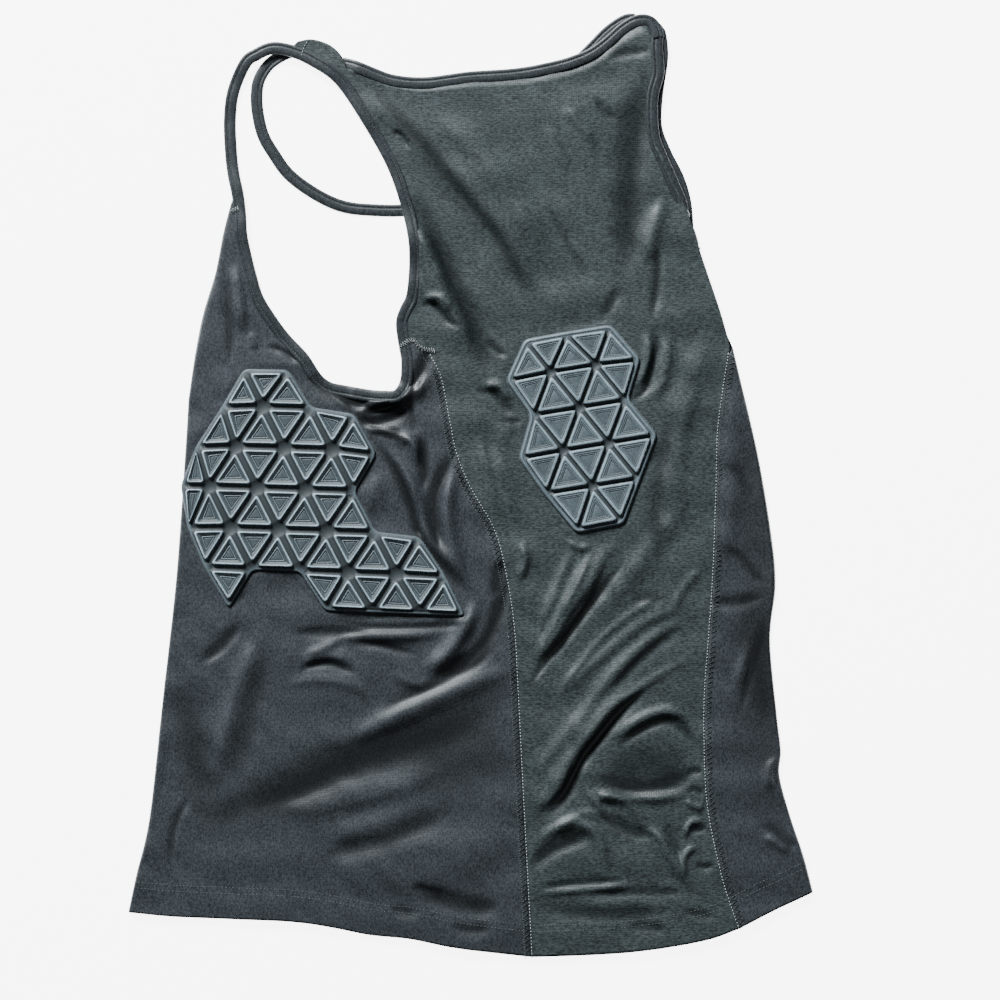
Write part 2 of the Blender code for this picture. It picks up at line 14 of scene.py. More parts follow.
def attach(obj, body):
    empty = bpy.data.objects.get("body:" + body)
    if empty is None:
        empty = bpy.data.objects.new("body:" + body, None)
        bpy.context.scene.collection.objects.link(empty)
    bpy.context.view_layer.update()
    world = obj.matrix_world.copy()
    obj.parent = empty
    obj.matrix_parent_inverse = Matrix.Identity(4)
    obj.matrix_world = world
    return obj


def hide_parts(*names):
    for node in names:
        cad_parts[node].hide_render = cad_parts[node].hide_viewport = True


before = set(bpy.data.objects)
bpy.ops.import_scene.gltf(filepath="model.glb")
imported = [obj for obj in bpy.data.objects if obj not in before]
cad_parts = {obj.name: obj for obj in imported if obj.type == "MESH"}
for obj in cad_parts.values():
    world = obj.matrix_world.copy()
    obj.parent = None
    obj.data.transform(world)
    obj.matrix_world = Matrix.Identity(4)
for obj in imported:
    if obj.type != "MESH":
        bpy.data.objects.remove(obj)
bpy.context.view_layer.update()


# Floor, light and camera
# A plain pale studio surface, one large soft light beyond the shoulders that rakes over the folds,
# a weaker fill, and a camera straight above, framed as the photograph is. The surface glows softly.
PHOTO_WIDTH = 0.750  # metres of surface across the picture
PHOTO_MIDDLE = (0.0225, -0.01125)
LENS = 100.0
SENSOR = 36.0
FLOOR_HALF = 3.0
FLOOR_COLOUR = (0.93, 0.93, 0.93)
FLOOR_GLOW = 6.5
LAMP_COLOUR = (0.93, 0.98, 1.0)
KEY_PLACE = (-1.90, 3.90, 2.30)
KEY_SIZE = 1.20
KEY_POWER = 700.0
FILL_PLACE = (0.9, -0.8, 1.5)
FILL_SIZE = 1.2
FILL_POWER = 2.2
SKY = (0.92, 0.96, 1.0)
SKY_STRENGTH = 0.04


class Term:
    """A shader socket that takes part in Python arithmetic."""

    def __init__(self, shader, socket):
        self.shader = shader
        self.socket = socket

    def maths(self, operation, *terms):
        inputs = dict(enumerate(terms))
        return self.shader.node("ShaderNodeMath", {"operation": operation}, inputs)

    def __add__(self, other):
        return self.maths("ADD", self, other)

    def __radd__(self, other):
        return self.maths("ADD", other, self)

    def __sub__(self, other):
        return self.maths("SUBTRACT", self, other)

    def __rsub__(self, other):
        return self.maths("SUBTRACT", other, self)

    def __mul__(self, other):
        return self.maths("MULTIPLY", self, other)

    def __rmul__(self, other):
        return self.maths("MULTIPLY", other, self)


class Nodes:
    """A node tree whose nodes are made one by one, with their settings and inputs."""

    def __init__(self, tree):
        self.tree = tree

    def node(self, kind, settings=None, inputs=None, output=0):
        made = self.tree.nodes.new(kind)
        for key, value in (settings or {}).items():
            setattr(made, key, value)
        for key, value in (inputs or {}).items():
            self.feed(made.inputs[key], value)
        return Term(self, made.outputs[output])

    def feed(self, socket, value):
        if isinstance(value, Term):
            self.tree.links.new(value.socket, socket)
        elif socket.type == "RGBA":
            socket.default_value = (*value, 1.0)
        else:
            socket.default_value = value


class Shader(Nodes):
    """A principled material."""

    def __init__(self, name, sheen=0.0):
        self.material = bpy.data.materials.new(name)
        self.material.use_nodes = True
        super().__init__(self.material.node_tree)
        self.principled = self.tree.nodes["Principled BSDF"]
        self.principled.inputs["Sheen Weight"].default_value = sheen
        self.principled.inputs["Sheen Roughness"].default_value = 0.4

    def place(self, scale=(1.0, 1.0, 1.0)):
        """Object coordinates, scaled."""
        where = self.node("ShaderNodeTexCoord", output="Object")
        return self.node("ShaderNodeMapping", None, {"Vector": where, "Scale": scale})

    def noise(self, where, scale, detail, roughness=0.5):
        inputs = {"Vector": where, "Scale": scale, "Detail": detail, "Roughness": roughness}
        return self.node("ShaderNodeTexNoise", None, inputs)

    def mix(self, factor, first, second):
        return self.node("ShaderNodeMix", {"data_type": "RGBA"}, {0: factor, 6: first, 7: second}, 2)

    def finish(self, colour, roughness, height, depth):
        self.feed(self.principled.inputs["Base Color"], colour)
        self.feed(self.principled.inputs["Roughness"], roughness)
        bump = self.node("ShaderNodeBump", None, {"Strength": 1.0, "Distance": depth, "Height": height})
        self.feed(self.principled.inputs["Normal"], bump)
        return self.material


def add_object(name, data):
    made = bpy.data.objects.new(name, data)
    bpy.context.scene.collection.objects.link(made)
    return made


def make_floor():
    mesh = bpy.data.meshes.new("floor")
    corners = [(x * FLOOR_HALF, y * FLOOR_HALF, 0.0) for x, y in ((-1, -1), (1, -1), (1, 1), (-1, 1))]
    mesh.from_pydata(corners, [], [(0, 1, 2, 3)])
    floor = add_object("floor", mesh)
    paper = Shader("pale paper")
    grain = paper.noise(paper.place(), 900.0, 3.0)
    shade = paper.mix(grain * 0.04, FLOOR_COLOUR, (0.85, 0.85, 0.86))
    paper.principled.inputs["Emission Color"].default_value = (1.0, 1.0, 1.0, 1.0)
    paper.principled.inputs["Emission Strength"].default_value = FLOOR_GLOW
    mesh.materials.append(paper.finish(shade, 0.9, grain, 0.00002))


def make_light(name, place, size, power):
    lamp = bpy.data.lights.new(name, "AREA")
    lamp.size = size
    lamp.energy = power
    lamp.color = LAMP_COLOUR
    light = add_object(name, lamp)
    light.location = place
    light.rotation_euler = Vector(place).to_track_quat("Z", "Y").to_euler()


def make_camera():
    lens = bpy.data.cameras.new("camera above")
    lens.lens = LENS
    lens.sensor_width = SENSOR
    camera = add_object("camera above", lens)
    camera.location = (*PHOTO_MIDDLE, PHOTO_WIDTH * LENS / SENSOR)
    bpy.context.scene.camera = camera


make_floor()
make_light("key light", KEY_PLACE, KEY_SIZE, KEY_POWER)
make_light("fill light", FILL_PLACE, FILL_SIZE, FILL_POWER)
make_camera()
world = bpy.data.worlds.new("studio")
world.use_nodes = True
world.node_tree.nodes["Background"].inputs["Color"].default_value = (*SKY, 1.0)
world.node_tree.nodes["Background"].inputs["Strength"].default_value = SKY_STRENGTH
bpy.context.scene.world = world


# Front panel
# One cut of heavy charcoal stretch knit. It wraps the left side, the whole underside and the right
# side, and is joined to the back panel at two flatlock seams. Its hem is turned up and coverstitched.
MM = 0.001
CLOTH = 1.0
UPPER_HEIGHT = 4.4
BINDING_WIDTH = 9.0
LEFT_FOLD = [(-256, -320), (-250, -292), (-240, -248), (-230, -158), (-220, -68), (-213.5, 22), (-211, 64)]
LEFT_FOLD_CHEST = [(-211, 64), (-206, 98), (-200, 128), (-191, 158), (-185, 188), (-180.5, 206), (-178, 214)]
RIGHT_FOLD = [(257, -305), (250, -278), (240, -248), (232, -218), (233, -199), (230, -172), (225, -116),
              (229, -75), (226, -38), (216, 22), (202, 82), (197, 103)]
HEM_LEFT = [(-256, -320), (-225, -323), (-180, -325), (-135, -327), (-105, -331), (-75, -337), (-45, -340),
            (-15, -346), (15, -350), (46, -353.5)]
HEM_BACK = [(46, -353.5), (90, -352), (120, -350), (150, -346), (180, -340), (202, -332)]
HEM_RIGHT = [(202, -332), (225, -320), (240, -313), (257, -305)]
HEM_UNDER = [(-256, -320), (-150, -321), (-50, -333), (50, -344), (150, -338), (220, -318), (257, -305)]
LEFT_SEAM = [(46, -353.5), (43, -296), (39, -221), (36, -161), (33, -109), (27, -68), (18, -34), (0, -2),
             (-10, 22), (-15, 45), (-22, 80), (-30, 97)]
RIGHT_SEAM = [(202, -332), (192, -303), (184, -271), (178, -237), (176, -200), (176, -158), (179, -116),
              (182, -74), (184, -26), (185, 5), (186, 41), (190, 72), (194, 98)]
# Centre line of the left armhole binding: level along the back, then x, y, height of its outer face
RING_HEIGHT = 4.5
ARM_FLAT = [(-134, 325), (-118, 318), (-98, 304), (-79, 277), (-59, 242), (-48, 212), (-42, 186), (-41, 168),
            (-42, 150), (-44, 139), (-48, 131), (-51, 121), (-49, 105), (-47, 93), (-48, 77), (-54, 67),
            (-64, 66), (-76, 67), (-93, 70), (-106, 73), (-115, 80), (-125, 95), (-139, 110), (-150, 125),
            (-159, 140), (-164, 156), (-168, 172), (-171, 187)]
ARM_FRONT = [(-172, 202, 4.3), (-174, 218, 3.5), (-177, 232, 2.6), (-179, 248, 1.8), (-180, 274, 1.7),
             (-177, 296, 2.4), (-168, 316, 3.9), (-160, 322, 4.3), (-148, 327, 4.5)]
ARMHOLE_LEFT = [(x, y, RING_HEIGHT) for x, y in ARM_FLAT] + ARM_FRONT
# Centre line of the front neck binding
NECK_FRONT = [(-131, 326), (-141, 322), (-151, 315), (-158, 304), (-160, 292), (-159, 278), (-155, 262),
              (-147, 248), (-135, 232), (-114, 217), (-94, 208.5), (-71, 206), (-48, 206), (-15, 210),
              (22, 227), (52, 262), (70, 296), (81, 316), (92, 328), (104, 340), (116, 348), (124, 349)]
NECK_UNDER = ((-40, 206), (116, 348))
RING_TOP = (-134, 325)
RING_SHOULDER = (-98, 304)
RING_SEAM = (-50, 108)
RING_UNDERARM = (-93, 70)
RING_TACK = (-175, 214)
UNDERARM = [(-211, 64), (-170, 62), (-130, 62)]
FOLD_UNDER_EDGE = [(-165, 60), (-172, 86), (-178, 116), (-181, 146), (-180, 176), (-177, 203), (-176, 213)]
UNDER_TOP_LEFT = [(-211, 64), (-190, 62), (-165, 60)]
UNDER_TOP_MIDDLE = [(-165, 60), (-100, 54), (-30, 58)]
UNDER_TOP_RIGHT = [(-30, 58), (68, 75), (140, 92), (197, 103)]
UNDER_CHEST_EDGE = [(-30, 58), (-28, 101), (-30, 160)]
UNDER_ARM_EDGE = [(197, 103), (186, 128), (176, 158), (165, 190)]
UNDER_STRAP_EDGE = [(165, 190), (159, 211), (151, 230), (141, 249), (136, 268), (136, 291), (140, 312),
                    (135, 331)]
# Folds and creases: width on its left, width on its right, height, then x, y of each point along it.
# A ridge has a height above zero and a trough one below; left and right are as one walks along it.
FOLDS = [
    (8, 7, 2.3, 38, -135, -6, -152, -52, -171, -96, -194),
    (26, 14, -1, 30, -180, -10, -205, -50, -222),
    (14, 11, -2.9, 38, -155, 8, -170, -22, -184, -90, -206, -128, -225, -157, -236, -206, -250),
    (18, 28, 1.4, 30, -276, -40, -290, -104, -303),
    (8, 16, 1.6, -232, -60, -226, -20, -222, 30),
    (20, 20, -0.8, 206, 96, 218, -40, 220, -160, 234, -300),
    (2.4, 3, 0.9, 152, -78, 128, -92, 102, -112, 78, -140, 60, -168),
    (2.6, 3.4, 0.9, 170, -128, 146, -140, 120, -158, 98, -180, 80, -200),
    (2.2, 3, 0.9, 96, -72, 80, -98, 62, -128, 48, -150),
    (3, 4, 0.9, 176, -60, 160, -78, 150, -98),
    (3, 3.4, 1.2, 88, -240, 106, -232, 124, -244, 132, -262),
    (3, 3.4, 0.9, 60, -262, 84, -246, 104, -250),
    (5, 6, 1, 34, 60, 24, 30, 28, -4, 36, -30),
    (3, 4, 1.1, 6, 40, 14, 10, 20, -20),
    (5, 6, 1, 170, 74, 160, 40, 158, 4),
    (9, 8, 0.8, 66, 300, 84, 262, 92, 220),
    (5, 4, 1, -140, -150, -110, -146, -84, -152, -70, -166),
    (3, 3.4, 0.9, -60, -140, -40, -150, -24, -146),
    (5, 4, -3, -127, 88, -112, 75, -90, 63, -67, 57, -43, 64),
    (4, 4, -3, -30, 104, -38, 80, -46, 60),
    (13, 13, -1.6, 97, -222, 135, -211, 168, -226),
    (6, 6, -1.8, -42, -307, -10, -313, 24, -322),
    (5, 5, -1.5, 50, -317, 100, -322, 152, -319),
    (11, 10, -1.5, 214, -88, 216, -130, 224, -185),
    (8, 8, 1.3, 197, 82, 197, 15, 192, -58),
    (13, 11, -1.3, -216, -146, -206, -200, -196, -246),
    (6, 7, 1.5, 114, -40, 77, -76, 55, -104),
    (8, 8, 1.6, 163, -10, 120, -68, 91, -104),
    (9, 10, 1.3, 185, 126, 149, 25, 163, -40),
    (6, 6, -1, 152, 60, 140, -20, 148, -74),
    (4, 6, -1.6, 22, -118, 6, -133, -22, -149, -49, -161, -68, -173),
    (4.6, 4.2, -3, 30, -64, 19, -101, 8, -122, -11, -137, -32, -148),
    (6, 6, 3.4, 6, -86, -5, -109, -18, -127, -34, -140),
    (4, 6, 1.8, 22, -89, 18, -106, 8, -124, -4, -140),
    (3, 2.2, -1.3, -129, -142, -120, -136, -106, -134, -94, -138, -82, -142),
    (6, 3, 1.4, -128, -134, -106, -128, -86, -134),
    (3, 4, -1.5, -135, -111, -112, -110, -88, -110, -63, -113),
    (2, 2.4, -1.3, -102, -100, -79, -106, -52, -107, -15, -105, 6, -104),
    (4, 4, 1.8, -105, -116, -82, -113, -52, -113, -22, -112),
    (3, 3, -1.6, -90, -117, -68, -120, -52, -124, -40, -128),
    (4, 3, 1.3, -124, -128, -109, -122, -96, -116),
    (5, 3, -1.7, -202, -134, -186, -122, -171, -104),
    (9, 7, 1.9, -154, -100, -165, -131, -176, -161, -185, -195, -193, -229),
    (8, 9, -0.9, -146, -116, -159, -154, -168, -191, -178, -229),
    (10, 9, -0.8, -213, -240, -191, -247, -168, -254),
    (2.4, 2.4, -1.2, -208, -230, -218, -248, -223, -266, -224, -290),
    (12, 8, 1.8, -160, -242, -105, -239, -52, -226, -11, -208),
    (7, 8, -1.3, -112, -283, -94, -273, -68, -268, -38, -256, -11, -241),
    (9, 9, 1.1, -109, -268, -82, -257, -52, -245, -30, -236),
    (10, 10, 0.9, -105, -290, -75, -278, -45, -271, 0, -265),
    (4, 4, -1.5, -44, -299, -33, -304, -16, -310),
    (4, 3.4, -1.4, -6, -313, 9, -314, 22, -317),
    (4, 4, -1.1, -60, -317, -49, -320, -39, -322),
    (4, 4, -1.2, -16, -329, 0, -334, 18, -331),
    (6, 5, 1, -232, -176, -236, -206, -240, -241),
    (4.5, 5, 4.6, -86, 55, -68, 61, -51, 66, -39, 72, -33, 86),
    (2.6, 3, -1.6, -81, 52, -66, 56, -51, 62),
    (2, 2.4, 1.8, -86, 50, -68, 52, -51, 58),
    (5, 4, -3.2, -84, 49, -64, 49, -46, 57),
    (3.6, 4, 3.8, -84, 44, -68, 42, -52, 37, -42, 31, -39, 12),
    (3, 2.4, -1.6, -75, 41, -60, 37, -46, 34),
    (3.4, 3, -2.8, -39, 40, -34, 21, -35, -6),
    (4, 5, 2.6, -60, 29, -47, 8, -38, -15, -29, -40, -12, -60, 6, -80),
    (2.6, 3, -3.2, -74, 37, -54, 8, -44, -17, -36, -42, -16, -65, 4, -89),
    (2.2, 2.2, -1.1, -46, 62, -43, 49, -40, 37),
    (3.2, 5, -2.4, -10, 27, -21, 5, -26, -11, -25, -34, -20, -60),
    (6, 5, 3, -9, 14, -16, -5, -17, -23, -13, -47, -2, -72),
    (2.4, 2.6, -2.6, -92, 57, -75, 46, -56, 40, -42, 34),
    (4, 4, -2.2, 24, -56, 21, -71, 18, -86),
    (7, 6, 1, -64, 11, -72, -5, -78, -26),
    (2.6, 4, -1.2, -182, 167, -181, 139, -178, 109, -180, 88),
    (4, 6, 1.6, -176, 167, -172, 139, -170, 112),
    (3, 3, 2, -123, 88, -111, 74, -94, 61, -87, 52),
    (3, 3, -2.2, -118, 83, -105, 76, -93, 67, -88, 55),
    (2.2, 2.4, -1.3, -152, 104, -140, 100, -128, 91),
    (3, 3, 0.8, -164, 115, -160, 101),
    (2.6, 3, -2.2, 117, -56, 105, -71, 90, -91, 71, -116, 54, -137, 42, -155),
    (4, 6, 3, 102, -53, 92, -71, 76, -92, 62, -115, 46, -134),
    (3, 3.4, 1.6, 93, -46, 86, -62, 76, -82, 64, -101, 52, -124),
    (4, 4, 1.5, 78, -47, 69, -67, 60, -89, 51, -113),
    (3.6, 5, -2.6, 136, -152, 117, -166, 99, -187, 84, -206, 75, -226, 64, -242, 46, -250),
    (3, 10, 3.8, 132, -149, 106, -167, 88, -190, 74, -212, 63, -232, 46, -244),
    (6, 6, 1.6, 98, -154, 82, -175, 64, -197, 48, -218),
    (5, 6, 2, 165, -100, 142, -112, 122, -128, 100, -151, 82, -173),
    (4, 5, -1, 160, -106, 142, -118, 124, -134, 106, -155),
    (4, 5, 1.3, 162, -91, 135, -101, 110, -119, 82, -143, 64, -164),
    (3, 4, -2, 110, -197, 126, -184, 146, -176, 160, -182, 173, -201),
    (4, 6, 2, 106, -190, 128, -175, 148, -169, 166, -176),
    (4, 7, -2.4, 90, -218, 112, -224, 135, -225, 154, -219, 172, -215),
    (4, 4, 2.2, 84, -224, 98, -232, 135, -234, 165, -231),
    (4, 4, -1.8, 93, -241, 106, -251, 123, -260, 140, -263),
    (2.4, 3, 1.6, 84, -226, 92, -235, 100, -245, 112, -256),
    (3, 4, 2.6, 128, -256, 141, -262, 148, -274, 156, -287, 165, -302),
    (3, 3, -1.2, 147, -251, 152, -266, 158, -280),
    (4, 5, -2.4, 45, -289, 56, -276, 72, -268, 92, -262),
    (4, 5, 2.4, 48, -268, 72, -253, 90, -257, 99, -269, 104, -290),
    (2, 2.2, -1.7, 49, -302, 82, -298, 118, -296),
    (2.4, 2, 1.4, 49, -306, 98, -302, 128, -299),
    (3, 3, -1.3, 82, -308, 128, -305, 171, -306),
    (3, 3, -1.3, 159, -319, 172, -322, 184, -323),
    (3, 3, -1.2, 117, -332, 132, -331, 148, -334),
    (1.8, 2.2, -1.6, 160, -217, 168, -214, 175, -216),
    (1.8, 2.2, -1.5, 162, -229, 169, -228, 176, -233),
    (2.2, 2.4, 1.6, 160, -236, 170, -241, 177, -241),
    (1.8, 2.2, -1.7, 164, -256, 171, -258, 178, -256),
    (2, 2.4, 1.6, 160, -265, 165, -253, 176, -251),
    (1.8, 2.2, -1.7, 168, -284, 176, -286, 183, -284),
    (2, 2.2, 1.6, 162, -293, 160, -280, 166, -272, 172, -275),
    (4, 4, -0.9, 120, -88, 132, -85, 146, -86),
    (6, 5, -2, -84, 306, -71, 294, -52, 273, -30, 249, -8, 221, 15, 194, 30, 172, 42, 145, 51, 122),
    (9, 8, 3.4, -78, 296, -54, 274, -26, 244, 4, 211, 26, 182, 41, 154, 48, 126),
    (12, 12, 3, -24, 276, 0, 253, 24, 224, 44, 194, 56, 168),
    (7, 6, -2.2, -44, 220, -32, 196, -20, 170, -8, 142, 3, 118, 12, 92, 22, 74),
    (8, 9, 3, -52, 214, -40, 190, -28, 164, -16, 138, -4, 110, 6, 84),
    (4, 6, 1.4, -38, 194, -27, 172, -16, 146),
    (3, 3.4, -1.5, -38, 133, -29, 136, -22, 130, -15, 122, -4, 117),
    (3, 3.4, 1.9, -36, 140, -22, 139, -14, 128),
    (2.2, 2.2, -1.1, -59, 265, -51, 261, -45, 251),
    (4, 3, 1.1, 56, 271, 66, 250, 75, 233),
    (4, 4, 1.2, 69, 284, 84, 268, 96, 254),
    (2.2, 2.2, -1.2, 93, 290, 101, 279, 112, 272),
    (3, 3, -1.2, 100, 319, 116, 323, 136, 325),
    (9, 10, -2, 136, 310, 128, 286, 121, 251, 119, 214, 117, 150),
    (6, 5, 2, 146, 217, 140, 200, 135, 182, 131, 163),
    (3, 3, -1.4, 142, 181, 140, 148, 136, 122),
    (4, 4, -1.2, 111, 149, 106, 136, 98, 124),
    (2.2, 2.4, -1.5, 14, 110, 20, 101, 28, 96),
    (3, 3, -1.4, 4, 70, 16, 69, 26, 59, 38, 50),
    (3, 3.4, 1.8, 9, 73, 22, 74, 32, 62),
    (2, 2, -1, 22, 49, 32, 47, 40, 50),
    (2.4, 2.6, -0.8, 58, 211, 70, 188, 82, 166, 93, 148),
    (2.4, 2.8, -2, 136, 118, 140, 104, 136, 86, 133, 74, 126, 66, 118, 65),
    (3, 3, 2.4, 131, 116, 134, 100, 130, 83, 123, 73),
    (4, 5, 1.6, 146, 116, 148, 97, 144, 76, 135, 62),
    (2.4, 2.6, 1.4, 72, -41, 82, -47, 92, -45),
    (3, 4, 1.8, 38, -41, 42, -56, 36, -74),
    (2, 2.4, -1.6, 224, -95, 218, -116, 211, -139, 205, -160, 201, -176),
    (4, 5, 1.6, 218, -95, 212, -116, 204, -137, 198, -158),
    (4, 4, -1.6, 178, -88, 201, -88, 222, -83),
    (2.6, 3, -1.3, 189, -46, 204, -56, 215, -68, 224, -77),
    (2.4, 3, 2, 230, -203, 225, -211, 224, -221, 228, -229),
    (2.4, 2.6, -1.7, 218, -253, 228, -259, 238, -268, 248, -272),
    (3, 3, 1.9, 219, -262, 230, -268, 240, -275),
    (3, 4, -0.9, 190, 17, 204, 5, 214, -14),
]
FOLD_STRENGTH = 1.3
FOLD_CALM = 4.0  # folds die out over this distance beside a pad
FOLD_REACH = 3.0  # in fold widths
FOLD_FADE = 3.2  # how fast a fold rises from its ends
FOLD_END = 0.06
FOLD_TAPER = 0.35  # share of its width that a fold loses at its ends
HOLLOW_DEPTH = 3.0  # a hollow this deep gets nearly the full painted shade
DEEPEST = 1.9  # no hollow goes lower than this below the flat cloth
# Waves: length, height, direction, seed
WIDE_WAVES = (46.0, 1.1, 1.9, 5)
NARROW_WAVES = (22.0, 0.5, 0.9, 8)
SWELL = (150.0, 0.9, 0.4, 3)
WAVE_COUNT = 7
FULL_TURN = 6.28
CURVE_STEPS = 16  # between two knots of a smooth line
PATH_STEPS = 16
FINE_STEPS = 400
ROWS = 220
FOLD_STEPS = (0.25, 0.7, 1.3, 2.2, 3.4)  # points close to a turned side
STRIP_STEPS = (0.25, 0.7, 1.3)
TIP_STEPS = (0.1, 0.25, 0.4, 0.6, 0.8)
SIDE_COLUMNS = 84
UNDER_COLUMNS = (9, 8, 16)
STRIP_COLUMNS = 26
NECK_EDGE_STEPS = 60
CHEST_STEPS = 20
WELD = 0.02  # between patches that share an edge
BINDING_THICKNESS = 1.4
BINDING_LIFT = 0.4
EDGE = BINDING_WIDTH / 2 - 1.2  # from a binding's centre to the cloth's edge inside it


def lengths_along(line):
    """Length from a line's start to each of its points."""
    steps = np.linalg.norm(np.diff(line, axis=0), axis=1)
    return np.concatenate([[0.0], np.cumsum(steps)])


def spaced(line, shares):
    """Points at the given shares of a line's length."""
    lengths = lengths_along(line)
    wanted = np.asarray(shares) * lengths[-1]
    return np.stack([np.interp(wanted, lengths, line[:, k]) for k in range(line.shape[1])], axis=1)


def smooth_line(points, count, closed=False):
    """Points at equal steps along a smooth curve through the given points."""
    knots = np.array(points, float)
    if closed:
        ends = np.vstack([knots[-1:], knots, knots[:2]])
    else:
        ends = np.vstack([2 * knots[:1] - knots[1:2], knots, 2 * knots[-1:] - knots[-2:-1]])
    t = np.linspace(0.0, 1.0, CURVE_STEPS, endpoint=False)[:, None]
    fine = []
    for before, a, b, after in zip(ends, ends[1:], ends[2:], ends[3:]):
        fine.append(0.5 * (2 * a + (b - before) * t + (2 * before - 5 * a + 4 * b - after) * t ** 2
                           + (3 * a - before - 3 * b + after) * t ** 3))
    fine.append(knots[:1] if closed else knots[-1:])
    return spaced(np.vstack(fine), np.linspace(0.0, 1.0, count + 1))


def fold_line(points, count, start_steps=(), end_steps=()):
    """A smooth line with extra points close to an end where the cloth turns over a side."""
    line = smooth_line(points, FINE_STEPS)
    length = lengths_along(line)[-1]
    head = [0.0] + [step / length for step in start_steps]
    tail = [1.0 - step / length for step in reversed(end_steps)] + [1.0]
    inner = np.linspace(head[-1], tail[0], count - len(start_steps) - len(end_steps) + 1)
    return spaced(line, head[:-1] + list(inner) + tail[1:])


def sideways(line, distance):
    """A line moved to its right in plan."""
    flat = line[:, :2]
    along = np.gradient(flat, axis=0)
    across = np.stack([along[:, 1], -along[:, 0]], axis=1)
    return flat + across / np.linalg.norm(across, axis=1, keepdims=True) * distance


def stretch(line, start, end):
    """The part of a line between the points nearest to two places."""
    flat = line[:, :2]
    first = np.linalg.norm(flat - start, axis=1).argmin()
    last = np.linalg.norm(flat - end, axis=1).argmin()
    return flat[first:last + 1]


def resampled(line, count):
    return spaced(line, np.linspace(0.0, 1.0, count + 1))


def patch(bottom, top, left, right):
    """Rows of points that fill the space between four edges."""
    def shares(edge):
        lengths = lengths_along(edge)
        return lengths / lengths[-1]
    low = shares(bottom)[None, :, None]
    high = shares(top)[None, :, None]
    v = np.linspace(0.0, 1.0, len(left))[:, None, None]
    u = low * (1 - v) + high * v
    across = left[:, None] * (1 - u) + right[:, None] * u
    lift = (bottom[None] - bottom[0] * (1 - low) - bottom[-1] * low) * (1 - v)
    drop = (top[None] - top[0] * (1 - high) - top[-1] * high) * v
    return across + lift + drop


def from_line(points, line):
    """Distance to a line, share of the way along it, and side: 1 on its left, -1 on its right."""
    best = np.full(len(points), 1e9)
    share = np.zeros(len(points))
    side = np.ones(len(points))
    for k, (a, b) in enumerate(zip(line, line[1:])):
        along = b - a
        t = np.clip(((points - a) @ along) / max(along @ along, 1e-12), 0.0, 1.0)
        away = points - a - t[:, None] * along
        distance = np.hypot(away[:, 0], away[:, 1])
        nearer = distance < best
        best = np.where(nearer, distance, best)
        share = np.where(nearer, (k + t) / (len(line) - 1), share)
        cross = along[0] * away[:, 1] - along[1] * away[:, 0]
        side = np.where(nearer, np.where(cross >= 0, 1.0, -1.0), side)
    return best, share, side


def eased(x):
    x = np.clip(x, 0.0, 1.0)
    return x * x * (3 - 2 * x)


def slow_waves(points, wave, height, turn, seed):
    """Gentle uneven swells of the cloth: a few crossing sine waves."""
    total = np.zeros(len(points))
    random = np.random.RandomState(seed)
    for _ in range(WAVE_COUNT):
        angle = turn + random.uniform(-0.7, 0.7)
        length = wave * random.uniform(0.6, 1.6)
        phase = random.uniform(0.0, FULL_TURN)
        along = points @ np.array([math.cos(angle), math.sin(angle)])
        total += np.sin(along / length * FULL_TURN + phase)
    return total * height / WAVE_COUNT


def in_outline(points, outline):
    """Whether each point lies inside a closed outline."""
    odd = np.zeros(len(points), bool)
    for a, b in zip(outline, np.roll(outline, -1, axis=0)):
        crosses = (a[1] > points[:, 1]) != (b[1] > points[:, 1])
        rise = b[1] - a[1] if b[1] != a[1] else 1e-9
        left = points[:, 0] < (b[0] - a[0]) * (points[:, 1] - a[1]) / rise + a[0]
        odd ^= crosses & left
    return odd


def pad_distance(points):
    """Distance outside the nearer pad's edge, zero under a pad."""
    best = np.full(len(points), 1e9)
    for outline in (RIB_OUTLINE, BACK_OUTLINE):
        low, high = outline.min(axis=0) - FOLD_CALM, outline.max(axis=0) + FOLD_CALM
        near = np.all((points > low) & (points < high), axis=1)
        away = from_line(points[near], np.vstack([outline, outline[:1]]))[0]
        best[near] = np.where(in_outline(points[near], outline), 0.0, away)
    return best


def swell(points):
    """Broad rise and fall that the panels and the pads on them share."""
    return slow_waves(points, *SWELL)


def fold_lifts(points):
    """For each fold: the points it reaches, and how far it lifts each of them."""
    for left, right, height, *path in FOLDS:
        line = smooth_line(list(zip(path[::2], path[1::2])), PATH_STEPS)
        reach = FOLD_REACH * max(left, right)
        low, high = line.min(axis=0) - reach, line.max(axis=0) + reach
        near = np.all((points > low) & (points < high), axis=1)
        away, share, side = from_line(points[near], line)
        fade = eased(np.minimum(share, 1 - share) * FOLD_FADE + FOLD_END)
        width = np.where(side > 0, left, right) * (1 - FOLD_TAPER + FOLD_TAPER * fade)
        yield near, FOLD_STRENGTH * height * fade * np.exp(-(away / width) ** 2)


def upper_height(points):
    """Height of the upper layer's outer face."""
    total = slow_waves(points, *WIDE_WAVES) + slow_waves(points, *NARROW_WAVES)
    for near, lift in fold_lifts(points):
        total[near] += lift
    total *= eased(pad_distance(points) / FOLD_CALM)
    return UPPER_HEIGHT + swell(points) + np.where(total < 0, DEEPEST * np.tanh(total / DEEPEST), total)


def hollow(points):
    """How deep each point lies in a fold's hollow, from 0 to 1, which sets the painted shade in the knit's
    colour.
    """
    total = np.zeros(len(points))
    for near, lift in fold_lifts(points):
        total[near] -= np.minimum(lift, 0.0)
    return np.tanh(total / HOLLOW_DEPTH)


def seated(line):
    """A binding's centre line that rises and falls with the cloth whose edge it covers."""
    flat, height = line[:, :2], line[:, 2]
    lift = (upper_height(flat) - UPPER_HEIGHT + BINDING_LIFT) * height / UPPER_HEIGHT
    return np.column_stack([flat, np.maximum(height + lift, BINDING_THICKNESS)])


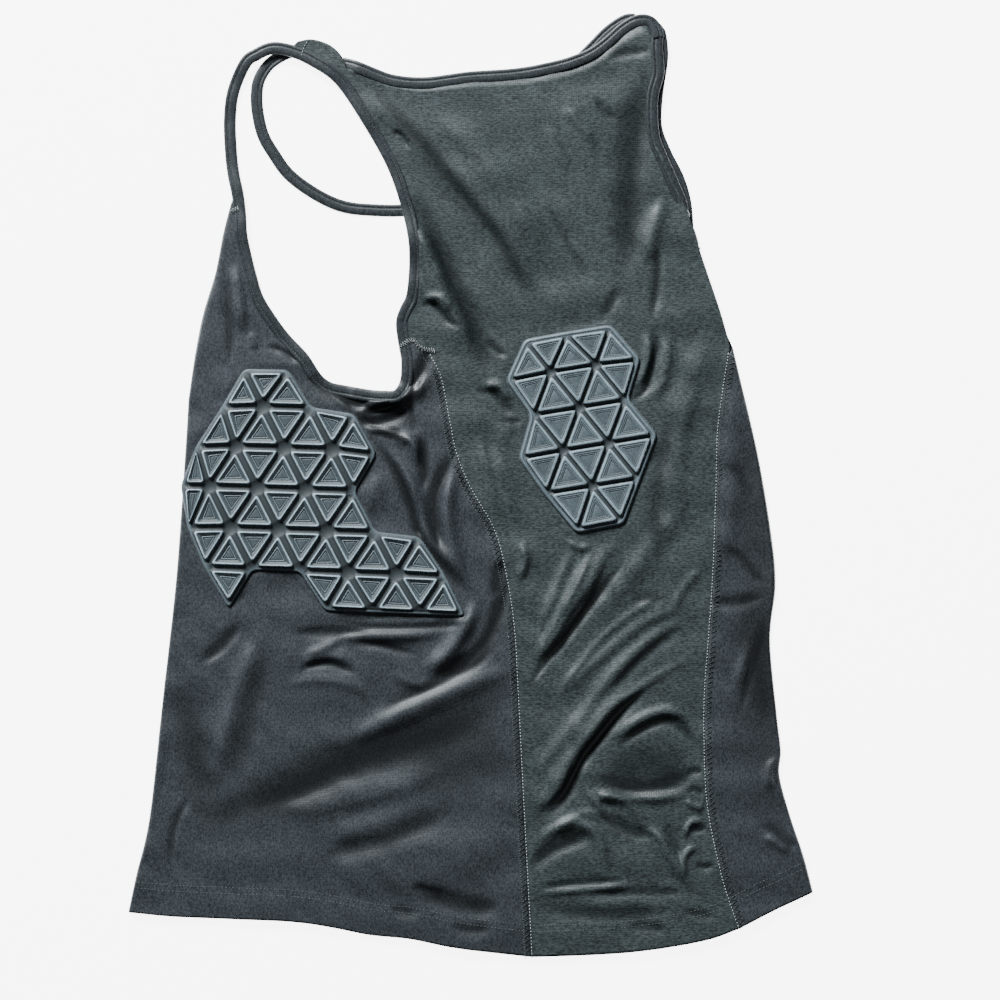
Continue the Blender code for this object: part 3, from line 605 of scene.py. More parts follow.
def add_piece(name, mesh, material):
    """A smooth object in the scene from a finished mesh."""
    mesh.materials.append(material)
    mesh.shade_smooth()
    return add_object(name, mesh)


def add_wall(piece, thickness):
    """Gives a surface its thickness, below it."""
    wall = piece.modifiers.new("Cloth wall", "SOLIDIFY")
    wall.thickness = thickness * MM
    wall.offset = -1.0


class Cloth:
    """Patches of cloth that become one welded sheet."""

    def __init__(self):
        self.points = []
        self.hollows = []
        self.faces = []

    def add(self, grid, layer, fold_left=None, fold_right=None):
        rows, columns = grid.shape[:2]
        flat = grid.reshape(-1, 2)
        full = upper_height(flat).reshape(rows, columns)
        away = np.full((rows, columns), 1e9)
        for fold in (fold_left, fold_right):
            if fold is not None:
                away = np.minimum(away, np.linalg.norm(grid - fold[:, None], axis=2))
        radius = full / 2
        bulge = np.sqrt(np.clip(radius ** 2 - np.clip(radius - away, 0, None) ** 2, 0, None))
        height = radius + bulge if layer == "upper" else radius - bulge
        start = sum(len(p) for p in self.points)
        self.points.append(np.concatenate([flat, height.reshape(-1, 1)], axis=1))
        self.hollows.append(hollow(flat) if layer == "upper" else np.zeros(len(flat)))
        index = np.arange(rows * columns).reshape(rows, columns) + start
        corners = [index[:-1, :-1], index[:-1, 1:], index[1:, 1:], index[1:, :-1]]
        if layer == "under":
            corners.reverse()
        self.faces.append(np.stack(corners, axis=2).reshape(-1, 4))

    def sheet(self, name, material):
        mesh = bpy.data.meshes.new(name)
        mesh.from_pydata((np.vstack(self.points) * MM).tolist(), [], np.vstack(self.faces).tolist())
        # the fold depth, which the knit turns into painted shade
        layer = mesh.attributes.new("hollow", "FLOAT", "POINT")
        layer.data.foreach_set("value", np.concatenate(self.hollows))
        weld = bmesh.new()
        weld.from_mesh(mesh)
        bmesh.ops.remove_doubles(weld, verts=weld.verts, dist=WELD * MM)
        weld.to_mesh(mesh)
        weld.free()
        piece = add_piece(name, mesh, material)
        add_wall(piece, CLOTH)
        return piece


# Triangle lattices of the two pads: place of node 0, 0, step to the next column, step to the next row
RIB_LATTICE = ((-159, -2), (36.0, -1.25), (-20.0, -29.8))
BACK_LATTICE = ((82, 58), (33.85, 5.54), (21.72, -26.54))
# Edge nodes that the cloth pulls in: how far each moves in x and y
RIB_PULLED = {(-2, -3): (2.3, -3.8), (-1, -3): (-1, -3.2), (-2, -2): (5.8, -2), (1, -2): (-3.8, -3.9),
              (-2, -1): (6.5, -1.9), (2, -1): (-3.6, -2.2), (-1, 1): (4.5, -1.5), (0, 2): (1, 0),
              (1, 3): (2.8, 1.5), (3, 3): (3, 1.7), (4, 3): (1.9, 1.7), (5, 3): (1.5, 1.7),
              (6, 3): (-1.5, 1.5), (4, 1): (-3, -2.5), (-2, 0): (15.5, -1)}
BACK_PULLED = {(0, -2): (4, -4.4), (1, -2): (0, -4.4), (2, -2): (-2, -4.8), (-1, -1): (3.4, -0.6),
               (2, -1): (-3, -2), (-2, 1): (3, 0), (-2, 3): (1.2, -0.8)}
RIB_BORDER = [(-2, -3), (-1, -3), (0, -2), (1, -2), (2, -1), (2, 0), (3, 1), (4, 1), (5, 2), (6, 3), (3, 3),
              (2, 2), (1, 2), (1, 3), (0, 2), (-1, 1), (-2, 0), (-2, -1), (-2, -2)]
BACK_BORDER = [(0, -2), (1, -2), (2, -2), (2, -1), (1, 0), (1, 1), (0, 2), (-1, 3), (-2, 3), (-2, 2), (-2, 1),
               (-1, 0), (-1, -1)]
PAD_CORNER = 4.5
PAD_CORNER_STEPS = 6
RIB_RIM = 0.8
BACK_RIM = 3.0


def lattice_node(lattice, pulled, node):
    """Place of one node of a pad's triangle lattice."""
    origin, column, row = (np.array(place, float) for place in lattice)
    return origin + column * node[0] + row * node[1] + np.array(pulled.get(node, (0, 0)))


def moved_in(corners, distance):
    """A polygon with each side moved in by a distance; a negative one moves it out."""
    before = corners - np.roll(corners, 1, axis=0)
    before /= np.linalg.norm(before, axis=1, keepdims=True)
    after = np.roll(before, -1, axis=0)
    middle = np.stack([-(before[:, 1] + after[:, 1]), before[:, 0] + after[:, 0]], axis=1)
    share = np.maximum((middle ** 2).sum(axis=1, keepdims=True) / 2, 0.5)
    return corners + middle * distance / share


def rounded(corners, radius, steps):
    """A closed polygon with an arc of points at each corner."""
    out = []
    for before, corner, after in zip(np.roll(corners, 1, axis=0), corners, np.roll(corners, -1, axis=0)):
        back, ahead = before - corner, after - corner
        cut = min(radius, 0.45 * np.linalg.norm(back), 0.45 * np.linalg.norm(ahead))
        a = corner + back / np.linalg.norm(back) * cut
        b = corner + ahead / np.linalg.norm(ahead) * cut
        for t in np.linspace(0.0, 1.0, steps):
            out.append(a * (1 - t) ** 2 + 2 * corner * t * (1 - t) + b * t ** 2)
    return np.array(out)


def pad_outline(lattice, pulled, border, rim):
    nodes = np.array([lattice_node(lattice, pulled, node) for node in border])[::-1]
    return rounded(moved_in(nodes, -rim), PAD_CORNER, PAD_CORNER_STEPS)


RIB_OUTLINE = pad_outline(RIB_LATTICE, RIB_PULLED, RIB_BORDER, RIB_RIM)
BACK_OUTLINE = pad_outline(BACK_LATTICE, BACK_PULLED, BACK_BORDER, BACK_RIM)


HEATHER_SHARE, YARN_SHARE, LOOP_SHARE, FADE_MIDDLE = 0.7, 3.4, 0.25, 0.40
PAINTED_CREASE_SHADE_COLOUR = (0.0016, 0.0020, 0.0024)  # painted shade: the near-black colour laid into the fold hollows
PAINTED_CREASE_SHADE_SHARE = 0.92
HOLLOW_GLOSS = 0.35


def knit_material(name, dark, light, wale, depth, roughness, grain):
    """Fine stretch knit: loops in uneven yarn, with a heathered colour drawn out along the grain."""
    knit = Shader(name)
    across = 1.0 / (wale * MM)
    where = knit.place((across, across * 0.8, across))
    loops = knit.node("ShaderNodeTexVoronoi", None, {"Vector": where, "Scale": 1.0, "Randomness": 0.35})
    yarn = knit.noise(knit.place(grain), 850.0, 3.0, 0.7)
    heather = knit.noise(knit.place(grain), 320.0, 4.0, 0.7)
    fade = (heather - 0.5) * HEATHER_SHARE + (yarn - 0.5) * YARN_SHARE + loops * LOOP_SHARE + FADE_MIDDLE
    # Painted shade: the colour goes near-black deep in the fold hollows, and the knit is glossier there
    painted_shade_mask = knit.node("ShaderNodeAttribute", {"attribute_name": "hollow"}, None, 2)
    shade = knit.mix(painted_shade_mask * PAINTED_CREASE_SHADE_SHARE, knit.mix(fade, light, dark), PAINTED_CREASE_SHADE_COLOUR)
    relief = (1.0 - loops) * 0.7 + yarn * 0.5
    return knit.finish(shade, (roughness + 0.1 * yarn) * (1.0 - HOLLOW_GLOSS * painted_shade_mask), relief, depth)


KNIT = knit_material("charcoal stretch knit", (0.008, 0.010, 0.0125), (0.052, 0.061, 0.072),
                     1.0, 0.00014, 0.54, (1.0, 0.6, 1.0))

RING_LEFT = seated(smooth_line(ARMHOLE_LEFT, 420, closed=True)[:-1])
NECK_FRONT_LINE = smooth_line([(x, y, 1.6) for x, y in NECK_FRONT], 300)
RING_BACK_EDGE = sideways(stretch(RING_LEFT, RING_SHOULDER, RING_SEAM), -EDGE)[::-1]
RING_SHOULDER_EDGE = sideways(stretch(RING_LEFT, RING_TOP, RING_SHOULDER), -EDGE)[::-1]
RING_FRONT_EDGE = sideways(stretch(RING_LEFT, RING_UNDERARM, RING_TACK), -EDGE)
RING_BOTTOM_EDGE = sideways(stretch(RING_LEFT, RING_SEAM, RING_UNDERARM), -EDGE)[::-1]
LEFT_SEAM_LINE = smooth_line(LEFT_SEAM + [tuple(RING_BACK_EDGE[0])], ROWS)
RIGHT_SEAM_LINE = smooth_line(RIGHT_SEAM, ROWS)


def make_front_panel():
    cloth = Cloth()
    left_fold = smooth_line(LEFT_FOLD, ROWS)
    right_fold = smooth_line(RIGHT_FOLD, ROWS)
    chest_rows = len(RING_FRONT_EDGE) - 1
    chest_fold = smooth_line(LEFT_FOLD_CHEST, chest_rows)

    underarm = fold_line(UNDERARM + [tuple(RING_FRONT_EDGE[0])], SIDE_COLUMNS, FOLD_STEPS)
    top = np.vstack([underarm, RING_BOTTOM_EDGE[1:]])
    hem = fold_line(HEM_LEFT, len(top) - 1, FOLD_STEPS)
    seam = LEFT_SEAM_LINE.copy()
    top[-1] = seam[-1]
    hem[-1] = seam[0]
    cloth.add(patch(hem, top, left_fold, seam), "upper", fold_left=left_fold)

    chest_top = fold_line([chest_fold[-1], RING_FRONT_EDGE[-1]], SIDE_COLUMNS, TIP_STEPS)
    cloth.add(patch(underarm, chest_top, chest_fold, RING_FRONT_EDGE), "upper", fold_left=chest_fold)

    under_left = fold_line(UNDER_TOP_LEFT, UNDER_COLUMNS[0], FOLD_STEPS)
    under_middle = smooth_line(UNDER_TOP_MIDDLE, UNDER_COLUMNS[1])
    under_right = fold_line(UNDER_TOP_RIGHT, UNDER_COLUMNS[2], (), FOLD_STEPS)
    under_top = np.vstack([under_left, under_middle[1:], under_right[1:]])
    under_hem = fold_line(HEM_UNDER, len(under_top) - 1, FOLD_STEPS, FOLD_STEPS)
    cloth.add(patch(under_hem, under_top, left_fold, right_fold), "under", left_fold, right_fold)

    tuck_edge = smooth_line(FOLD_UNDER_EDGE, chest_rows)
    tuck_top = fold_line([chest_fold[-1], tuck_edge[-1]], UNDER_COLUMNS[0], FOLD_STEPS)
    cloth.add(patch(under_left, tuck_top, chest_fold, tuck_edge), "under", fold_left=chest_fold)

    neck_edge = resampled(sideways(stretch(NECK_FRONT_LINE, *NECK_UNDER), EDGE), NECK_EDGE_STEPS)
    chest_edge = smooth_line(UNDER_CHEST_EDGE + [tuple(neck_edge[0])], CHEST_STEPS)
    strap_edge = smooth_line(UNDER_STRAP_EDGE, NECK_EDGE_STEPS)
    arm_edge = np.vstack([smooth_line(UNDER_ARM_EDGE, CHEST_STEPS), strap_edge[1:]])
    strap_end = fold_line([neck_edge[-1], arm_edge[-1]], UNDER_COLUMNS[2], (), FOLD_STEPS)
    cloth.add(patch(under_right, strap_end, np.vstack([chest_edge, neck_edge[1:]]), arm_edge), "under")

    strip_top = fold_line([RIGHT_SEAM_LINE[-1], right_fold[-1]], STRIP_COLUMNS, (), STRIP_STEPS)
    strip_hem = fold_line([tuple(RIGHT_SEAM_LINE[0])] + HEM_RIGHT[1:], STRIP_COLUMNS, (), STRIP_STEPS)
    cloth.add(patch(strip_hem, strip_top, RIGHT_SEAM_LINE, right_fold), "upper", fold_right=right_fold)
    return cloth.sheet("front_panel_cloth", KNIT)


front = make_front_panel()
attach(front, "root")
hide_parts("front_panel")


# Back panel
# One cut of lighter mesh jersey between the seams. It runs up to the back neck, and a small piece of
# it goes on over the left shoulder to the shoulder seam.
NECK_BACK = [(-96, 316), (-88, 314), (-79, 310.5), (-68, 306), (-59, 303), (-45, 301), (-30, 301),
             (-15, 303), (0, 305), (15, 306), (30, 307), (45, 309), (60, 312), (77, 316.5), (92, 323),
             (104, 332), (114, 341), (124, 347), (133, 347.5), (139, 342), (141, 334)]
SHOULDER_TOP = [(-96, 321), (-105, 329.5), (-118.5, 333.7), (-129, 332)]
BACK_ARM_EDGE = [(194, 98), (194.5, 104), (188, 128), (178, 158), (168, 188), (164, 200), (158.5, 211),
                 (152, 224), (144.5, 240), (138, 254), (135, 268), (134, 289), (137, 305), (138, 325)]
ARMHOLE_RIGHT = [(141.5, 341, 4.2), (144, 321, 3.4), (140, 291, 3.0), (139.5, 268, 2.6), (146.5, 249, 1.8),
                 (156, 230, 1.8), (161.5, 211, 1.8), (164, 184, 2.2), (170, 161, 2.2), (177, 135, 2.2),
                 (182, 114, 2.2), (178, 105, 2.2), (170, 112, 2.2), (161, 139, 2.2), (154, 167, 2.2),
                 (155, 190, 2.6), (159, 207, 4.0), (152, 226, 5.0), (144.5, 243, 5.2), (137.5, 262, 5.2),
                 (136.5, 289, 5.2), (141, 309, 5.2), (140, 328, 5.2)]
NECK_DIP, NECK_DIP_LENGTH = 2.4, 14  # its first stretch comes up from under the shoulder
NECK_BACK_LINE = seated(smooth_line([(x, y, RING_HEIGHT) for x, y in NECK_BACK], 120))
NECK_BACK_LINE[:, 2] -= NECK_DIP * (1.0 - eased((NECK_BACK_LINE[:, 0] - NECK_BACK[0][0]) / NECK_DIP_LENGTH))
NECK_COLUMNS = 124
SHOULDER_COLUMNS = 8
JERSEY = knit_material("charcoal mesh jersey", (0.009, 0.013, 0.0135), (0.062, 0.080, 0.084),
                       1.3, 0.00018, 0.48, (0.4, 1.0, 1.0))


def make_back_panel():
    cloth = Cloth()
    left = np.vstack([LEFT_SEAM_LINE, RING_BACK_EDGE[1:]])
    arm_edge = smooth_line(BACK_ARM_EDGE, len(left) - len(RIGHT_SEAM_LINE))
    right = np.vstack([RIGHT_SEAM_LINE[:-1], arm_edge])
    neck_edge = resampled(sideways(NECK_BACK_LINE, EDGE)[2:], NECK_COLUMNS)
    across = fold_line([left[-1], neck_edge[0]], SHOULDER_COLUMNS)
    top = np.vstack([across, neck_edge[1:]])
    right[-1] = top[-1]
    hem = fold_line([tuple(left[0])] + HEM_BACK[1:-1] + [tuple(right[0])], len(top) - 1)
    cloth.add(patch(hem, top, left, right), "upper")
    shoulder_edge = np.vstack([left[-1:], RING_SHOULDER_EDGE[1:]])
    shoulder_top = smooth_line([tuple(neck_edge[0])] + SHOULDER_TOP, len(shoulder_edge) - 1)
    shoulder_end = fold_line([shoulder_edge[-1], shoulder_top[-1]], SHOULDER_COLUMNS)
    cloth.add(patch(across, shoulder_end, shoulder_edge, shoulder_top), "upper")
    return cloth.sheet("back_panel_cloth", JERSEY)


back = make_back_panel()
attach(back, "root")
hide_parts("back_panel")


# Neck and armhole bindings
# A strip of the same knit, folded over each raw edge and topstitched. The left armhole's is a closed
# ring, and the front neck's leaves it at the shoulder and lies on the surface inside it.

# Cross-section of the folded strip: place across, depth below the crown
BINDING_SECTION = [(-4.6, 1.3), (-4.3, 0.5), (-3.7, 0.12), (-1.6, 0.0), (0.0, 0.0), (1.2, 0.08), (1.6, 0.45),
                   (2.0, 0.1), (3.4, 0.15), (4.3, 0.45), (4.6, 0.75)]
BINDING_SAG = 0.75  # how far its cross-section already drops from the crown
BINDING = knit_material("binding knit", (0.007, 0.009, 0.011), (0.040, 0.048, 0.056),
                        0.9, 0.00012, 0.45, (1.0, 0.5, 1.0))


def make_binding(name, line, closed, node):
    along = np.gradient(line[:, :2], axis=0)
    if closed:
        along = np.roll(line[:, :2], -1, axis=0) - np.roll(line[:, :2], 1, axis=0)
    across = np.stack([along[:, 1], -along[:, 0]], axis=1)
    across /= np.linalg.norm(across, axis=1, keepdims=True)
    points = []
    for place, depth in BINDING_SECTION:
        points.append(np.column_stack([line[:, :2] - across * place, line[:, 2] - depth]))
    grid = np.stack(points, axis=1)
    rows, columns = grid.shape[:2]
    index = np.arange(rows * columns).reshape(rows, columns)
    if closed:
        index = np.vstack([index, index[:1]])
    corners = [index[:-1, :-1], index[1:, :-1], index[1:, 1:], index[:-1, 1:]]
    faces = np.stack(corners, axis=2).reshape(-1, 4)
    mesh = bpy.data.meshes.new(name)
    mesh.from_pydata((grid.reshape(-1, 3) * MM).tolist(), [], faces.tolist())
    piece = add_piece(name, mesh, BINDING)
    add_wall(piece, BINDING_THICKNESS - BINDING_SAG)
    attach(piece, "root")
    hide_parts(node)


make_binding("armhole_binding_left_knit", RING_LEFT, True, "armhole_binding_left")
RING_RIGHT = smooth_line(ARMHOLE_RIGHT, 260, closed=True)[:-1]
make_binding("armhole_binding_right_knit", RING_RIGHT, True, "armhole_binding_right")
make_binding("neck_binding_front_knit", NECK_FRONT_LINE, False, "neck_binding_front")
make_binding("neck_binding_back_knit", NECK_BACK_LINE, False, "neck_binding_back")


# Rib pad and back pad
# Moulded foam under a knit face: a plate with a rounded border, and a raised, stepped triangle in
# each cell. The rib pad turns round the left side, and the back pad lies between the shoulder blades.
PAD_PLATE = 1.8
# Rows of cells: row, first and last cell point up, first and last point down
RIB_ROWS = [(-2, -2, -1, -1, -1), (-1, -2, 1, -1, 1), (0, -2, 1, -1, 2), (1, -1, 2, -1, 2), (2, 0, 4, 0, 4),
            (3, 3, 5, 3, 5), (3, 0, -1, 1, 1)]
BACK_ROWS = [(-1, -1, 1, 0, 1), (0, -1, 0, -1, 1), (1, -2, 0, -1, 0), (2, -2, -1, -2, 0), (3, -2, -2, -2, -1)]
RIB_GROOVE = 2.2
BACK_GROOVE = 1.1
# Profile of a cell from its foot to its centre: way in, height above the plate, wear of the stretched knit
# with painted light (painted shade at the foot, painted highlight on the crest)
RIB_CELL = [(0.0, 0.0, 0.0), (0.25, 0.9, 0.2), (0.5, 1.8, 0.85), (0.9, 2.3, 1.0), (1.4, 2.3, 1.0),
            (1.8, 2.0, 0.6), (2.1, 1.75, 0.32), (3.9, 1.5, 0.30), (4.2, 1.1, 0.0), (4.5, 1.5, 0.5),
            (4.8, 1.65, 0.7), (5.1, 1.4, 0.25), (5.45, 1.0, 0.0), (5.8, 1.2, 0.32), (6.4, 1.3, 0.32)]
BACK_CELL = [(0.0, 0.0, 0.1), (0.25, 1.1, 0.2), (0.5, 1.9, 0.5), (0.9, 2.3, 0.85), (1.9, 2.4, 0.75),
             (2.7, 2.1, 0.5), (3.0, 1.8, 0.25), (3.3, 2.0, 0.55), (3.9, 2.0, 0.48), (4.2, 1.6, 0.1),
             (4.55, 1.8, 0.45), (5.1, 1.8, 0.42), (5.4, 1.45, 0.1), (5.8, 1.6, 0.42)]
# Border of a pad: way in, height above its underside, wear with painted light
RIB_EDGE = [(0.0, -0.4, 0.0), (0.0, 0.9, 0.1), (0.3, 1.35, 0.3), (0.8, 1.65, 0.4), (1.4, 1.8, 0.3)]
BACK_EDGE = [(0.0, -0.4, 0.0), (0.3, 0.7, 0.2), (0.9, 1.5, 0.4), (1.8, 2.2, 0.6), (2.6, 2.2, 0.55),
             (3.2, 1.9, 0.3), (3.6, 1.8, 0.1)]
# The plate between the cells: a mid tone of wear and painted light
PLATE_WEAR_AND_PAINTED_LIGHT = 0.49
CORNER = (3.2, 0.5, 0.5)  # radius of a cell's corners at its foot, loss a millimetre in, and least radius
CORNER_STEPS = 5


def foam_material():
    """Knit stretched over foam: dull, with painted shade, in the grooves; worn and shiny, with a painted
    highlight, on the raised edges.
    """
    foam = Shader("knit over moulded foam", 0.15)
    wear_and_painted_light = foam.node("ShaderNodeAttribute", {"attribute_name": "wear_and_painted_light"}, None, 2)
    yarn = foam.noise(foam.place(), 900.0, 4.0)
    blotch = foam.noise(foam.place(), 90.0, 2.0)
    worn_and_painted_light = wear_and_painted_light * (0.7 + 0.6 * blotch) + (yarn - 0.5) * 0.5
    # Painted light: darkest at the cells' feet and in the grooves, lightest on the crests, along with real
    # wear
    shade = foam.mix(worn_and_painted_light * worn_and_painted_light, (0.026, 0.034, 0.038), (0.37, 0.48, 0.55))
    return foam.finish(shade, 0.62 - 0.2 * wear_and_painted_light, yarn, 0.00015)


FOAM = foam_material()


def pad_cells(lattice, pulled, rows):
    """The three corners of each cell, anticlockwise."""
    shift = 1 if lattice[2][0] > 0 else 0
    cells = []
    for j, first_up, last_up, first_down, last_down in rows:
        for i in range(first_up, last_up + 1):
            cells.append([(i, j), (i + 1, j), (i + shift, j - 1)])
        for i in range(first_down, last_down + 1):
            cells.append([(i, j), (i + shift, j - 1), (i + shift - 1, j - 1)])
    return [np.array([lattice_node(lattice, pulled, node) for node in cell]) for cell in cells]


def inradius(cell):
    """Radius of the circle that fits in a cell."""
    sides = np.linalg.norm(cell - np.roll(cell, 1, axis=0), axis=1)
    half = sides.sum() / 2
    return math.sqrt((half - sides).prod() / half)


def make_pad(name, cells, outline, edge_profile, cell_profile, groove, node):
    points, wear_and_painted_lights, faces = [], [], []

    def add_loop(loop, height, wear_and_painted_light):
        first = len(points)
        base = UPPER_HEIGHT + swell(loop)
        points.extend(np.column_stack([loop, base + height]).tolist())
        wear_and_painted_lights.extend([wear_and_painted_light] * len(loop))
        return list(range(first, first + len(loop)))

    def join(outer, inner):
        for k in range(len(outer)):
            after = (k + 1) % len(outer)
            faces.append([outer[k], outer[after], inner[after], inner[k]])

    border = [add_loop(moved_in(outline, way), height, wear_and_painted_light) for way, height, wear_and_painted_light in edge_profile]
    for outer, inner in zip(border, border[1:]):
        join(outer, inner)
    loops = [border[-1]]
    for cell in cells:
        rings = []
        squeeze = min(1.0, (inradius(cell) - groove) / (cell_profile[-1][0] + 0.5))
        for way, height, wear_and_painted_light in cell_profile:
            radius = max(CORNER[0] - CORNER[1] * way, CORNER[2])
            ring = rounded(moved_in(cell, groove + way * squeeze), radius, CORNER_STEPS)
            rings.append(add_loop(ring, PAD_PLATE + height, wear_and_painted_light))
        loops.append(rings[0])
        for outer, inner in zip(rings, rings[1:]):
            join(outer, inner)
        faces.append(rings[-1])
    for k in border[-1]:
        wear_and_painted_lights[k] = PLATE_WEAR_AND_PAINTED_LIGHT
    flat = [Vector(points[k][:2]) for loop in loops for k in loop]
    names = [k for loop in loops for k in loop]
    edges = []
    start = 0
    for loop in loops:
        edges += [(start + k, start + (k + 1) % len(loop)) for k in range(len(loop))]
        start += len(loop)
    made = delaunay_2d_cdt(flat, edges, [], 1, 1e-7)
    origin = [names[source[0]] for source in made[3]]
    spots = np.array([tuple(p) for p in made[0]])
    middles = np.array([spots[list(triangle)].mean(axis=0) for triangle in made[2]])
    covered = np.zeros(len(middles), bool)
    for loop in loops[1:]:
        covered |= in_outline(middles, np.array([points[k][:2] for k in loop]))
    faces += [[origin[k] for k in triangle] for triangle, hidden in zip(made[2], covered) if not hidden]
    mesh = bpy.data.meshes.new(name)
    mesh.from_pydata((np.array(points) * MM).tolist(), [], faces)
    # wear and painted light of each point, read by the foam's colour
    layer = mesh.attributes.new("wear_and_painted_light", "FLOAT", "POINT")
    layer.data.foreach_set("value", wear_and_painted_lights)
    shape = bmesh.new()
    shape.from_mesh(mesh)
    bmesh.ops.holes_fill(shape, edges=[edge for edge in shape.edges if edge.is_boundary])
    bmesh.ops.recalc_face_normals(shape, faces=shape.faces)
    shape.to_mesh(mesh)
    shape.free()
    piece = add_piece(name, mesh, FOAM)
    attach(piece, "root")
    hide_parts(node)


make_pad("rib_pad_foam", pad_cells(RIB_LATTICE, RIB_PULLED, RIB_ROWS), RIB_OUTLINE, RIB_EDGE, RIB_CELL,
         RIB_GROOVE, "rib_pad")
make_pad("back_pad_foam", pad_cells(BACK_LATTICE, BACK_PULLED, BACK_ROWS), BACK_OUTLINE, BACK_EDGE, BACK_CELL,
         BACK_GROOVE, "back_pad")


# Stitching
# Flatlock seams with a zigzag of dark thread and a pale running thread, a twin-needle hem, topstitched
# bindings, and a few white bar tacks. Each row follows the cloth's own height.
HEM_DEPTHS = (19.0, 23.5)  # needle lines above the hem
BINDING_NEEDLE = -1.6  # needle line beside a binding's middle
# Stitches: spacing, reach, radius
HEM_STITCH = (2.6, 1.9, 0.2)
BINDING_STITCH = (2.2, 1.5, 0.16)
TACK_STITCH = (0.9, 3.0, 0.25)
SHOULDER_STITCH = (2.2, 1.7, 0.3)
TACK_LEFT = [(-179, 206), (-174, 209)]
TACK_RIGHT = [(-54, 104), (-47, 109), (-41, 110), (-36, 104), (-26, 102)]
SHOULDER_SEAM = [(-121, 333), (-124, 328), (-126, 322)]


def thread_material(name, colour):
    thread = Shader(name, 0.2)
    fibre = thread.noise(thread.place(), 1400.0, 2.0)
    shade = thread.mix(fibre, tuple(0.6 * c for c in colour), colour)
    return thread.finish(shade, 0.55, fibre, 0.00005)


PALE_THREAD = thread_material("pale thread", (0.60, 0.64, 0.65))
GREY_THREAD = thread_material("grey thread", (0.13, 0.15, 0.155))
CHAIN_THREAD = thread_material("chain thread", (0.085, 0.10, 0.105))
WHITE_THREAD = thread_material("white thread", (0.75, 0.77, 0.78))


class Stitches(Nodes):
    """A geometry tree that sews along a line: short runs, or one zigzag thread."""

    def __init__(self, name, zigzag):
        super().__init__(bpy.data.node_groups.new(name, "GeometryNodeTree"))
        self.sockets = {}
        face = self.tree.interface
        face.new_socket("Geometry", in_out="OUTPUT", socket_type="NodeSocketGeometry")
        face.new_socket("Geometry", in_out="INPUT", socket_type="NodeSocketGeometry")
        for label in ("Spacing", "Reach", "Radius"):
            made = face.new_socket(label, in_out="INPUT", socket_type="NodeSocketFloat")
            self.sockets[label] = made.identifier
        made = face.new_socket("Thread", in_out="INPUT", socket_type="NodeSocketMaterial")
        self.sockets["Thread"] = made.identifier
        source = self.tree.nodes.new("NodeGroupInput")
        line, spacing, reach, radius, thread = (Term(self, socket) for socket in source.outputs[:5])
        curve = self.node("GeometryNodeMeshToCurve", None, {"Mesh": line})
        inputs = {"Curve": curve, "Length": spacing}
        curve = self.node("GeometryNodeResampleCurve", {"mode": "LENGTH"}, inputs)
        tangent = self.node("GeometryNodeInputTangent")
        if zigzag:
            sewn = self.zigzag(curve, tangent, reach, radius)
        else:
            sewn = self.runs(curve, tangent, reach, radius)
        sewn = self.node("GeometryNodeSetShadeSmooth", None, {0: sewn})
        sewn = self.node("GeometryNodeSetMaterial", None, {"Geometry": sewn, "Material": thread})
        self.feed(self.tree.nodes.new("NodeGroupOutput").inputs[0], sewn)

    def zigzag(self, curve, tangent, reach, radius):
        inputs = {0: tangent, 1: (0.0, 0.0, 1.0)}
        across = self.node("ShaderNodeVectorMath", {"operation": "CROSS_PRODUCT"}, inputs)
        index = self.node("GeometryNodeInputIndex")
        way = index.maths("MODULO", index, 2.0) * reach
        offset = self.node("ShaderNodeVectorMath", {"operation": "SCALE"}, {0: across, "Scale": way})
        curve = self.node("GeometryNodeSetPosition", None, {"Geometry": curve, "Offset": offset})
        ring = self.node("GeometryNodeCurvePrimitiveCircle", None, {"Resolution": 5, "Radius": radius})
        inputs = {"Curve": curve, "Profile Curve": ring, "Fill Caps": True}
        return self.node("GeometryNodeCurveToMesh", None, inputs)

    def runs(self, curve, tangent, reach, radius):
        turn = self.node("FunctionNodeAlignRotationToVector", {"axis": "X"}, {"Vector": tangent})
        grain = self.node("GeometryNodeMeshUVSphere", None, {"Segments": 6, "Rings": 4, "Radius": 1.0})
        uneven = self.node("FunctionNodeRandomValue", {"data_type": "FLOAT"}, {2: 0.8, 3: 1.1, "Seed": 7}, 1)
        size = self.node("ShaderNodeCombineXYZ", None, {0: reach * uneven * 0.5, 1: radius, 2: radius})
        inputs = {"Points": curve, "Instance": grain, "Rotation": turn, "Scale": size}
        placed = self.node("GeometryNodeInstanceOnPoints", None, inputs)
        return self.node("GeometryNodeRealizeInstances", None, {0: placed})


RUNS = Stitches("running stitches", zigzag=False)
ZIGZAG = Stitches("zigzag thread", zigzag=True)


def sew(name, lines, stitches, spacing, reach, radius, thread):
    """Stitches along lines of x, y, height, as one mesh."""
    points = np.vstack(lines)
    edges = []
    start = 0
    for line in lines:
        edges += [(start + k, start + k + 1) for k in range(len(line) - 1)]
        start += len(line)
    mesh = bpy.data.meshes.new(name + " line")
    mesh.from_pydata((points * MM).tolist(), edges, [])
    path = add_object(name + " line", mesh)
    sewing = path.modifiers.new("Stitches", "NODES")
    sewing.node_group = stitches.tree
    values = {"Spacing": spacing * MM, "Reach": reach * MM, "Radius": radius * MM, "Thread": thread}
    for label, value in values.items():
        sewing[stitches.sockets[label]] = value
    sewn = bpy.data.meshes.new_from_object(path.evaluated_get(bpy.context.evaluated_depsgraph_get()))
    bpy.data.objects.remove(path)
    piece = add_object(name, sewn)
    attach(piece, "root")


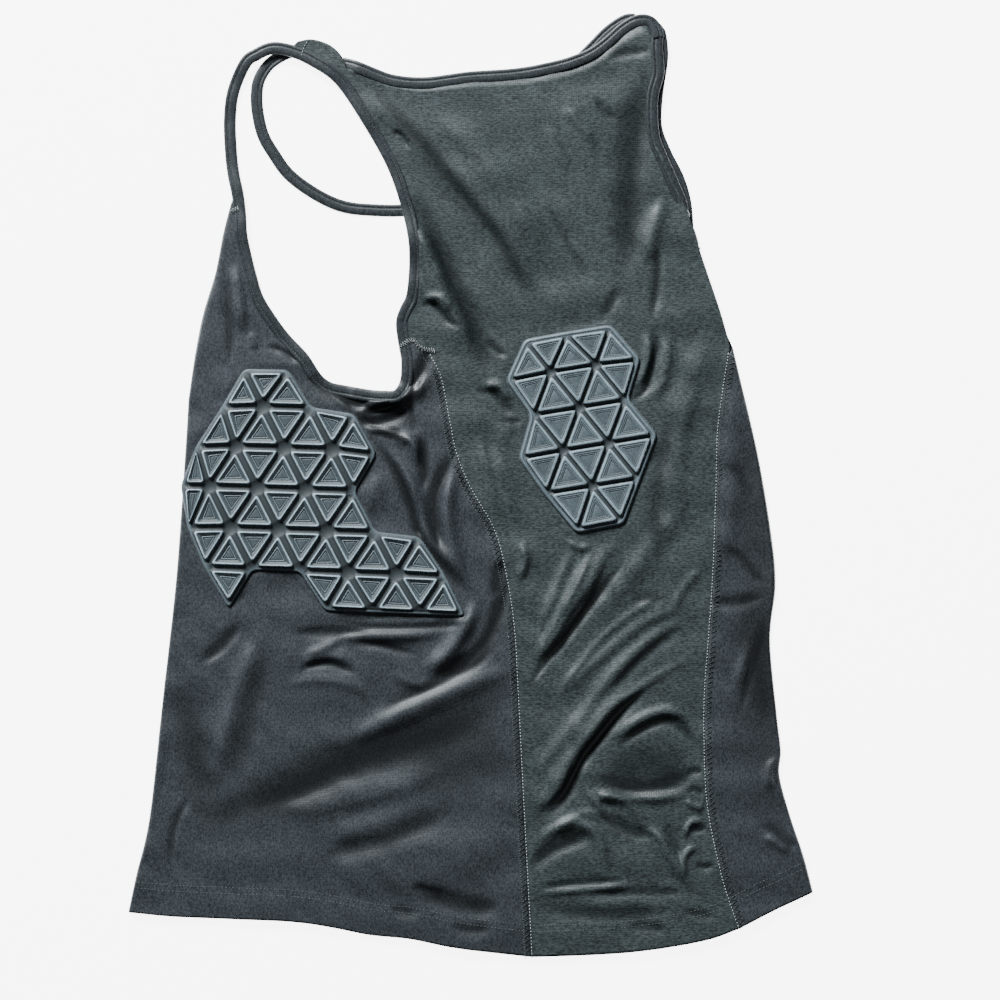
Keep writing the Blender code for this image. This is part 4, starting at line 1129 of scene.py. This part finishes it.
def on_cloth(line, lift):
    """A plan line laid on the upper cloth."""
    flat = line[:, :2]
    return np.column_stack([flat, upper_height(flat) + lift])


def on_binding(line, closed=False):
    """The needle line beside a binding's centre line, on its crown."""
    flat = sideways(line, BINDING_NEEDLE)
    if closed:
        flat[0] = flat[-1]
    return np.column_stack([flat, line[:, 2] - 0.05])


# Rows beside the seams: name, seam, place beside it, stitch, spacing, reach, radius, thread
SEAM_ROWS = [("left_seam_chain", LEFT_SEAM, -4.6, ZIGZAG, 1.9, 3.4, 0.27, CHAIN_THREAD),
             ("left_seam_edge", LEFT_SEAM, -4.8, RUNS, 1.9, 1.3, 0.22, GREY_THREAD),
             ("left_seam_thread", LEFT_SEAM, 0.5, RUNS, 2.4, 1.7, 0.34, PALE_THREAD),
             ("right_seam_chain", RIGHT_SEAM, 0.8, ZIGZAG, 1.9, 4.0, 0.27, GREY_THREAD),
             ("right_seam_thread", RIGHT_SEAM, -0.6, RUNS, 2.4, 1.7, 0.34, PALE_THREAD)]
for name, seam, aside, *sewing in SEAM_ROWS:
    sew(name, [on_cloth(sideways(smooth_line(seam, 260), aside), 0.2)], *sewing)

hem_lines = []
for points in (HEM_LEFT, HEM_BACK, HEM_RIGHT):
    hem = smooth_line(points, 160)
    for depth in HEM_DEPTHS:
        hem_lines.append(on_cloth(sideways(hem, -depth)[3:-3], 0.05))
sew("hem_stitches", hem_lines, RUNS, *HEM_STITCH, GREY_THREAD)

binding_lines = [on_binding(np.vstack([RING_LEFT, RING_LEFT[:1]]), closed=True),
                 on_binding(NECK_BACK_LINE), on_binding(NECK_FRONT_LINE)]
sew("binding_stitches", binding_lines, RUNS, *BINDING_STITCH, GREY_THREAD)
tacks = [on_cloth(smooth_line(points, 20), 0.9) for points in (TACK_LEFT, TACK_RIGHT)]
sew("bar_tacks", tacks, ZIGZAG, *TACK_STITCH, WHITE_THREAD)
seam = on_cloth(smooth_line(SHOULDER_SEAM, 12), 0.3)
sew("shoulder_seam_thread", [seam], RUNS, *SHOULDER_STITCH, PALE_THREAD)
